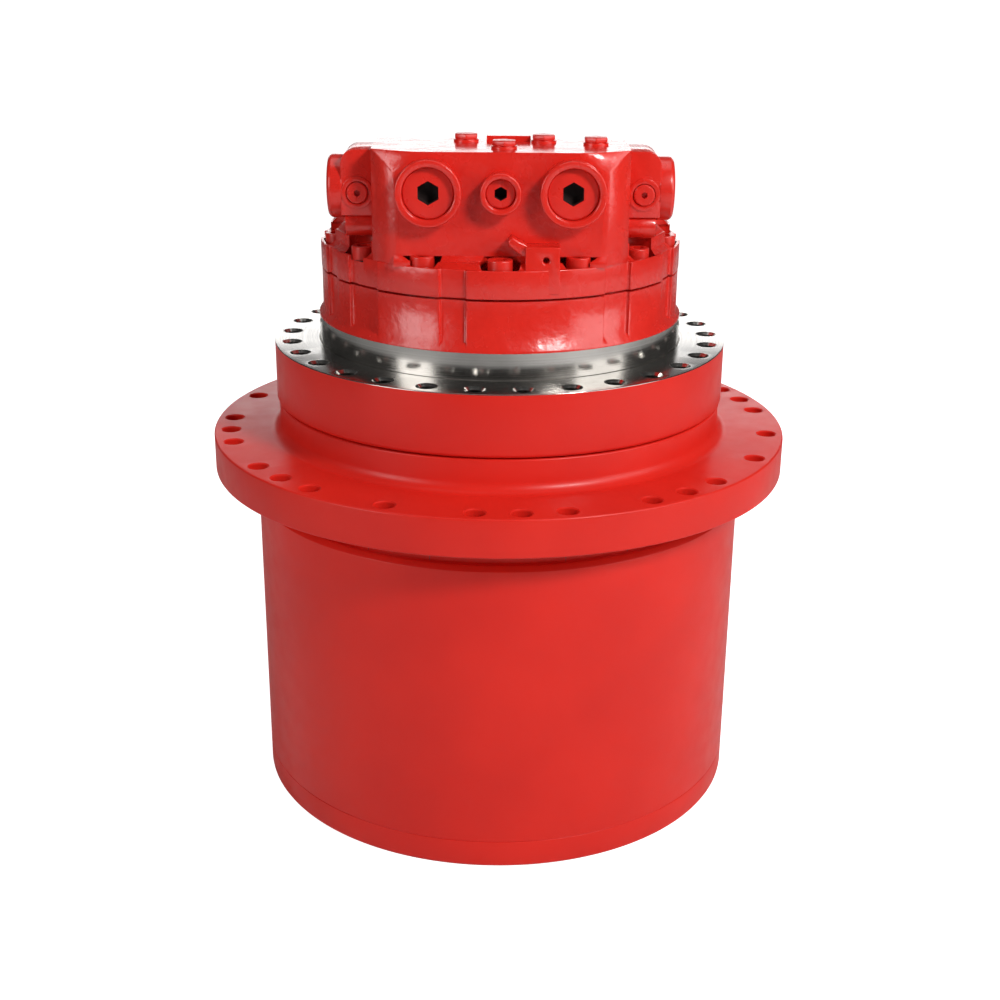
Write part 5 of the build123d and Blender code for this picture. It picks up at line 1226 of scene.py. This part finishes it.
@dataclass
class ValveBlock:
    """The valve block on the rear cover: body, wings, port bosses, dome, pad and ear."""

    casing: MotorCasing = field(default_factory=MotorCasing)
    base: float = 0.5289
    ledge: float = 0.5329
    foot: float = 0.004
    pocket_roof: float = 0.5365
    top: float = 0.6219
    front: float = -0.139925
    back: float = -0.046925
    face_half: float = 0.089
    half: float = 0.108
    corner_depth: float = 0.019
    port_x: float = 0.0595
    port_z: float = 0.5899
    shoulder_radius: float = 0.033
    boss_radius: float = 0.0273
    boss_length: float = 0.016
    recess_radius: float = 0.0215
    recess_depth: float = 0.009
    pilot_radius: float = 0.017
    pilot_recess: float = 0.0125
    plug_height: float = 0.003
    main_hexagon: float = 0.017
    small_hexagon: float = 0.010
    top_pad_x: tuple[float, float] = (-0.0125, 0.0255)
    top_pad_y: tuple[float, float] = (-0.064925, -0.052925)
    top_pad_height: float = 0.0045
    wing_end: float = 0.136
    wing_front: float = -0.097925
    wing_top: float = 0.6179
    wing_low: float = 0.5625
    wing_corner: float = 0.012
    wing_boss: float = 0.0135
    wing_boss_rise: float = 0.0015
    wing_plug_x: float = 0.122
    wing_plug_z: float = 0.5819
    wing_plug_radius: float = 0.009
    spool_y: float = -0.072425
    spool_z: float = 0.5839
    cap_radius: float = 0.027
    cap_length: float = 0.0125
    lower_boss: float = 0.0105
    lower_boss_z: float = 0.5540
    dome_base: float = 0.5429
    dome_top: float = 0.5629
    dome_radius: float = 0.153725
    pad_x: tuple[float, float] = (0.02075, 0.04925)
    pad_hole: tuple[float, float] = (0.038, 0.5369)
    pad_top: float = 0.5480
    pad_front: float = -0.159725
    ear: tuple[tuple[float, float], ...] = (
        (0.0071, 0.5483), (0.0180, 0.5391), (0.0225, 0.5391), (0.0225, 0.5485), (0.0146, 0.5523), (0.0097, 0.5556),
        (0.0062, 0.5520))
    ear_front: float = -0.154925
    top_plugs: tuple[tuple[float, float], ...] = (
        (-0.030, -0.066925), (0.0025, -0.112925), (0.0365, -0.071925), (0.0805, -0.084925))
    relief_x: float = 0.042
    relief_y: float = -0.009925

    def body(self) -> bpy.types.Object:
        """Shape the block: chamfer and cone its corners, weld the top pad and the bosses on, bore the recesses and the
        head pockets.

        Returns:
            The block.
        """
        piece = block("valve_block", (-self.half, self.front, self.base), (self.half, self.back, self.top))
        bevel_edges(piece, 2, lambda middle: abs(middle.y - self.front) < 1e-4, self.corner_depth)
        for side in (-1, 1):
            carve(piece, self.shoulder_cutter(side))
        soften(piece, 0.0012, 3)
        choose(piece, "FACE", lambda face: True)
        bpy.ops.mesh.remove_doubles(threshold=0.00004)
        leave_edit()
        pad = block("top_pad", (self.top_pad_x[0], self.top_pad_y[0], self.top - 0.002), (
            self.top_pad_x[1], self.top_pad_y[1], self.top + self.top_pad_height))
        carve(piece, pad, "UNION")
        for x, radius in ((-self.port_x, self.boss_radius), (self.port_x, self.boss_radius), (0.0, self.pilot_radius)):
            boss = turn("boss", (
                (0.0, -0.004), (radius, -0.004), (radius, self.boss_length, 0.0012), (0.0, self.boss_length)),
                closed=False, segments=96)
            carve(piece, seat(boss, (x, self.front, self.port_z), Facing.FRONT), "UNION")
        mouth = self.front - self.boss_length
        recesses = ((-self.port_x, self.recess_radius), (self.port_x, self.recess_radius), (0.0, self.pilot_recess))
        for x, radius in recesses:
            recess = turn("recess", (
                (0.0, -self.recess_depth - 0.013), (radius * 0.81, -self.recess_depth - 0.013),
                (radius * 0.81, -self.recess_depth), (radius, -self.recess_depth), (radius, -0.0008),
                (radius + 0.0018, 0.001), (0.0, 0.001)), closed=False, segments=96)
            carve(piece, seat(recess, (x, mouth, self.port_z), Facing.FRONT))
        carve(piece, self.casing.head_pockets(self.pocket_roof))
        smooth(piece, 50.0)
        return piece

    def sloped_foot(self) -> bpy.types.Object:
        """Shape the sloped foot along the block's front and cut the head pockets out of it.

        Returns:
            The foot.
        """
        piece = block("block_foot", (-self.face_half, self.front - self.foot, self.base - 0.001), (
            self.face_half, self.front + 0.0008, self.ledge + self.foot))
        bevel_edges(piece, 0, lambda middle: middle.y < self.front - 0.001 and middle.z > self.ledge, self.foot)
        carve(piece, self.casing.head_pockets(self.top))
        soften(piece, 0.0004, 2)
        smooth(piece, 50.0)
        return piece

    def shoulder_cutter(self, side: int) -> bpy.types.Object:
        """Make the cutter that rounds an upper front corner about its port, as a cone.

        Args:
            side: 1 on the right, -1 on the left.

        Returns:
            The cutter.
        """
        far = 0.02
        corner = sorted((side * self.port_x, side * (self.half + far)))
        cutter = block("shoulder", (corner[0], self.front - 0.002, self.port_z), (
            corner[1], self.front + self.corner_depth, self.top + far))
        reach = math.hypot(self.half - self.port_x, self.top - self.port_z)
        slope = (reach - self.shoulder_radius) / self.corner_depth
        cone = turn("cone", (
            (0.0, -self.corner_depth - 0.002), (reach + 0.002 * slope, -self.corner_depth - 0.002),
            (self.shoulder_radius, 0.0), (self.shoulder_radius, 0.004), (0.0, 0.004)), closed=False, segments=128)
        carve(cutter, seat(cone, (side * self.port_x, self.front, self.port_z), Facing.FRONT))
        return cutter

    def wing(self, side: int) -> bpy.types.Object:
        """Shape a wing: round its upper outer edge, weld the lower boss on and bore the plug's seat.

        Args:
            side: 1 on the right, -1 on the left.

        Returns:
            The wing.
        """
        inner = side * (self.half - 0.004)
        outer = side * self.wing_end
        piece = block("wing_right" if side > 0 else "wing_left", (min(inner, outer), self.wing_front, self.wing_low), (
            max(inner, outer), self.back, self.wing_top))
        bevel_edges(piece, 1, lambda middle: abs(middle.x - outer) < 1e-4 and middle.z > self.wing_low + 0.001,
                    self.wing_corner, 6)
        boss = round_bar(self.lower_boss, 0.0, self.wing_end - self.half - 0.001, 48)
        facing = Facing.RIGHT if side > 0 else Facing.LEFT
        carve(piece, seat(boss, (side * (self.half - 0.002), self.wing_front + 0.0105, self.lower_boss_z), facing), "UNION")
        round_boss = round_bar(self.wing_boss, -0.002, self.wing_boss_rise, 64)
        carve(piece, seat(round_boss, (side * self.wing_plug_x, self.wing_front, self.wing_plug_z), Facing.FRONT), "UNION")
        hole = round_bar(self.wing_plug_radius + 0.0006, -0.001, self.wing_boss_rise + 0.001, 48)
        carve(piece, seat(hole, (side * self.wing_plug_x, self.wing_front, self.wing_plug_z), Facing.FRONT))
        soften(piece, 0.0010, 2)
        smooth(piece, 50.0)
        return piece

    def dome(self) -> bpy.types.Object:
        """Turn the dome behind the block and the shoulder round it.

        Returns:
            The dome.
        """
        rim = self.dome_radius
        piece = turn("rear_dome", (
            (0.0, self.dome_base - 0.002), (rim, self.dome_base - 0.002), (rim, self.dome_base, 0.001),
            (rim - 0.006, self.dome_base + 0.006, 0.004), (rim - 0.018, self.dome_base + 0.009, 0.012),
            (rim - 0.048, self.dome_top, 0.008), (0.0, self.dome_top)), closed=False, segments=256)
        carve(piece, block("front_cut", (-self.wing_end, -0.2, self.dome_base - 0.003), (self.wing_end, self.back, 0.6)))
        soften(piece, 0.0009, 2, 50.0)
        carve(piece, self.casing.head_pockets(self.dome_top + 0.002))
        smooth(piece, 50.0)
        return piece

    def pad(self) -> bpy.types.Object:
        """Shape the square pad low on the block's front, with its small tapped hole.

        Returns:
            The pad.
        """
        piece = block("front_pad", (self.pad_x[0], self.pad_front, self.base - 0.02), (
            self.pad_x[1], self.front + 0.002, self.pad_top))
        hole = turn("hole", (
            (0.0, -0.014), (0.0026, -0.014), (0.0026, -0.001), (0.0046, 0.001), (0.0, 0.001)), closed=False, segments=32)
        carve(piece, seat(hole, (self.pad_hole[0], self.pad_front, self.pad_hole[1]), Facing.FRONT))
        soften(piece, 0.0012, 3)
        smooth(piece, 50.0)
        return piece

    def casting_ear(self) -> bpy.types.Object:
        """Draw the pointed ear beside the pad and extrude it to the front.

        Returns:
            The ear.
        """
        piece = plate("casting_ear", self.ear, self.front - self.ear_front + 0.002)
        seat(piece, (0.0, self.front + 0.002, 0.0), Facing.FRONT)
        soften(piece, 0.0014, 3)
        smooth(piece, 50.0)
        return piece

    def plug_set(self) -> bpy.types.Object:
        """Model the two large port plugs.

        Returns:
            Both plugs.
        """
        plug = port_plug(self.recess_radius - 0.0003, self.plug_height, self.main_hexagon, 0.0008)
        depth = self.front - self.boss_length + self.recess_depth
        twins = [seat(copied(plug), (x, depth, self.port_z), Facing.FRONT) for x in (-self.port_x, self.port_x)]
        bpy.data.objects.remove(plug)
        plugs = joined(twins, "main_plug_faces")
        smooth(plugs)
        return plugs

    def small_plugs(self) -> bpy.types.Object:
        """Model the plugs of the middle port and of the wings.

        Returns:
            The plugs.
        """
        middle = port_plug(self.pilot_recess - 0.0003, self.plug_height, self.small_hexagon, 0.0008)
        seat(middle, (0.0, self.front - self.boss_length + self.recess_depth, self.port_z), Facing.FRONT)
        side = port_plug(self.wing_plug_radius, 0.0055, 0.005, 0.001)
        places = [(x, self.wing_front + 0.002, self.wing_plug_z) for x in (-self.wing_plug_x, self.wing_plug_x)]
        twins = [seat(copied(side), place, Facing.FRONT) for place in places]
        bpy.data.objects.remove(side)
        plugs = joined([middle, *twins], "small_plug_faces")
        smooth(plugs)
        return plugs

    def in_socket(self, at: Vector) -> bool:
        """Tell whether a point lies inside a hexagon socket of the block's front.

        Args:
            at: The point.

        Returns:
            Whether it does.
        """
        face = self.front - self.boss_length + self.recess_depth - self.plug_height
        sockets = ((-self.port_x, self.main_hexagon), (self.port_x, self.main_hexagon), (0.0, self.small_hexagon))
        return at.y > face + 0.0006 and any(
            math.hypot(at.x - x, at.z - self.port_z) < size / math.sqrt(3) + 0.0002 for x, size in sockets)

    def hexagon_plugs(self) -> bpy.types.Object:
        """Model the four hexagon plugs on the block's top, each with collar, waist and cap.

        Returns:
            The plugs.
        """
        plug = turn("collar", (
            (0.0, -0.001), (0.0108, -0.001), (0.0108, 0.0018, 0.0004), (0.0092, 0.0022), (0.0092, 0.003),
            (0.0, 0.003)), closed=False, segments=48)
        head = hexagon(0.019, 0.0026, 0.0065)
        soften(head, 0.0006, 2)
        plug = joined([plug, head], "hexagon_plug")
        twins = [seat(copied(plug), (x, y, self.top)) for x, y in self.top_plugs]
        bpy.data.objects.remove(plug)
        plugs = joined(twins, "hexagon_plug_heads")
        smooth(plugs)
        return plugs

    def caps(self) -> bpy.types.Object:
        """Turn the round caps on both ends of the spool bore.

        Returns:
            Both caps.
        """
        cap = turn("cap", (
            (0.0, -0.004), (self.cap_radius - 0.002, -0.004), (self.cap_radius, 0.0, 0.0005),
            (self.cap_radius, self.cap_length, 0.004), (0.0, self.cap_length)), closed=False, segments=96)
        places = ((Facing.RIGHT, self.wing_end), (Facing.LEFT, -self.wing_end))
        twins = [seat(copied(cap), (x, self.spool_y, self.spool_z), facing) for facing, x in places]
        bpy.data.objects.remove(cap)
        caps = joined(twins, "spool_end_caps")
        smooth(caps)
        return caps

    def relief_valves(self) -> bpy.types.Object:
        """Model the two relief valves on the dome.

        Returns:
            Both valves.
        """
        stem = turn("stem", (
            (0.0, -0.002), (0.016, -0.002), (0.016, 0.003, 0.0006), (0.0105, 0.003), (0.0105, 0.025, 0.001),
            (0.0, 0.025)), closed=False, segments=48)
        head = hexagon(0.030, 0.003, 0.015)
        soften(head, 0.0008, 2)
        cap = hexagon(0.012, 0.024, 0.031)
        soften(cap, 0.0005, 2)
        valve = joined([stem, head, cap], "valve")
        twins = [seat(copied(valve), (x, self.relief_y, self.dome_top)) for x in (-self.relief_x, self.relief_x)]
        bpy.data.objects.remove(valve)
        valves = joined(twins, "relief_valve_heads")
        smooth(valves)
        return valves

    def build(self, finishes: Finishes) -> None:
        """Build and dress the block and what is on it.

        Args:
            finishes: The finishes.
        """
        castings = [self.body(), self.sloped_foot(), self.wing(-1), self.wing(1), self.dome(), self.pad(), self.casting_ear()]
        for piece in castings:
            finishes.dress(piece, Coat.CAST_PAINT, Body.STILL, ["rear_cover"])
        fittings = (
            (self.plug_set(), "main_port_plugs"), (self.small_plugs(), "small_port_plugs"),
            (self.hexagon_plugs(), "top_plugs"), (self.caps(), "spool_caps"), (self.relief_valves(), "relief_valves"))
        for piece, node in fittings:
            finishes.dress(piece, Coat.FITTING_PAINT, Body.STILL, [node])
        # Painted shade inside the hexagon sockets of the port plugs.
        for piece, _ in fittings[:2]:
            finishes.darken(piece, self.in_socket)


@dataclass
class Studio:
    """Floor, soft light and the camera."""

    eye: tuple[float, float, float] = (-0.0007, -1.3894, 0.7830)
    pitch: float = 69.66
    yaw: float = -0.105
    roll: float = 0.50
    lens: float = 54.23
    floor_size: float = 12.0
    paper_glow: float = 1.0
    air: float = 0.06

    def camera(self) -> None:
        """Place the camera at the photograph's angle."""
        data = bpy.data.cameras.new("camera")
        data.lens = self.lens
        data.sensor_width = 36.0
        data.clip_end = 50.0
        camera = bpy.data.objects.new("camera", data)
        about = Matrix.Rotation(math.radians(self.yaw), 4, "Z") @ Matrix.Rotation(math.radians(self.pitch), 4, "X")
        tilt = Matrix.Rotation(math.radians(self.roll), 4, "Z")
        camera.matrix_world = Matrix.Translation(Vector(self.eye)) @ about @ tilt
        bpy.context.scene.collection.objects.link(camera)
        bpy.context.scene.camera = camera

    def lamp(self, name: str, place: Corner, aim: Corner, size: tuple[float, float], power: float) -> None:
        """Hang a soft box.

        Args:
            name: The lamp's name.
            place: Where it hangs.
            aim: The point it shines at.
            size: Its width and height.
            power: Its power in watts.
        """
        data = bpy.data.lights.new(name, "AREA")
        data.shape = "RECTANGLE"
        data.size, data.size_y = size
        data.energy = power
        lamp = bpy.data.objects.new(name, data)
        lamp.location = place
        lamp.rotation_euler = (Vector(aim) - Vector(place)).to_track_quat("-Z", "Y").to_euler()
        bpy.context.scene.collection.objects.link(lamp)

    def light(self) -> None:
        """Hang the soft boxes and set the surroundings."""
        self.lamp("key", (1.5, -1.9, 2.1), (0.0, 0.0, 0.40), (0.5, 0.5), 53.0)
        self.lamp("left_box", (-1.9, -1.5, 1.1), (0.0, 0.0, 0.35), (1.0, 1.2), 18.0)
        self.lamp("right_box", (2.2, -1.1, 1.1), (0.0, 0.0, 0.35), (1.5, 1.2), 18.0)
        self.lamp("top_box", (0.0, 0.4, 2.6), (0.0, 0.0, 0.4), (2.0, 1.6), 12.0)
        self.lamp("back_panel", (0.0, 3.0, 1.0), (0.0, 0.0, 0.62), (3.0, 0.5), 13.0)
        world = bpy.data.worlds.new("surroundings")
        bpy.context.scene.world = world
        world.use_nodes = True
        sky = world.node_tree.nodes["Background"]
        sky.inputs["Color"].default_value = (1.0, 1.0, 1.0, 1.0)
        sight = world.node_tree.nodes.new("ShaderNodeLightPath")
        glow = world.node_tree.nodes.new("ShaderNodeMapRange")
        glow.inputs["To Min"].default_value = self.air
        glow.inputs["To Max"].default_value = self.paper_glow
        world.node_tree.links.new(sight.outputs["Is Camera Ray"], glow.inputs["Value"])
        world.node_tree.links.new(glow.outputs["Result"], sky.inputs["Strength"])

    def floor(self) -> None:
        """Lay the pale floor and sweep it up behind the object."""
        clear_selection()
        bpy.ops.mesh.primitive_plane_add(size=self.floor_size)
        floor = bpy.context.object
        floor.name = "floor_and_backdrop"
        points = floor.data.vertices
        half = self.floor_size / 2

        def at_back(edge: bpy.types.MeshEdge) -> bool:
            """Tell whether an edge is the floor's far one."""
            return all(points[index].co.y > half - 0.01 for index in edge.vertices)

        choose(floor, "EDGE", at_back)
        bpy.ops.mesh.extrude_region_move(TRANSFORM_OT_translate={"value": (0.0, 0.0, half)})
        leave_edit()
        bevel_edges(floor, 0, lambda middle: middle.y > half - 0.01 and middle.z < 0.01, half / 3, 12)
        bpy.ops.object.shade_smooth()
        material, tree, shader = new_material("white_paper")
        where = coordinates(tree)
        tree.links.new(blend_colours(tree, noise(tree, where, 3.0), (0.70, 0.70, 0.70), (0.72, 0.72, 0.72)),
                       shader.inputs["Base Color"])
        shader.inputs["Roughness"].default_value = 0.9
        shader.inputs["Emission Color"].default_value = (1.0, 1.0, 1.0, 1.0)
        sight = tree.nodes.new("ShaderNodeLightPath")
        glow = tree.nodes.new("ShaderNodeMath")
        glow.operation = "MULTIPLY"
        glow.inputs[1].default_value = self.paper_glow
        tree.links.new(sight.outputs["Is Camera Ray"], glow.inputs[0])
        tree.links.new(glow.outputs["Value"], shader.inputs["Emission Strength"])
        floor.data.materials.append(material)

    def build(self) -> None:
        """Set up the studio."""
        self.camera()
        self.light()
        self.floor()
        bpy.context.scene.view_settings.view_transform = "Standard"


def main() -> None:
    """Load the frame, build the sub-assemblies in order and set up the studio."""
    logging.basicConfig(level=logging.INFO, format="%(name)s %(message)s")
    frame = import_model()
    finishes = Finishes()
    finishes.dress_nodes(frame)
    for part in (Drum(), Hub(), FrameRing(), MotorCasing(), ValveBlock()):
        LOG.info("building %s", type(part).__name__)
        part.build(finishes)
    Studio().build()
    clear_selection()


if __name__ == "__main__":
    main()
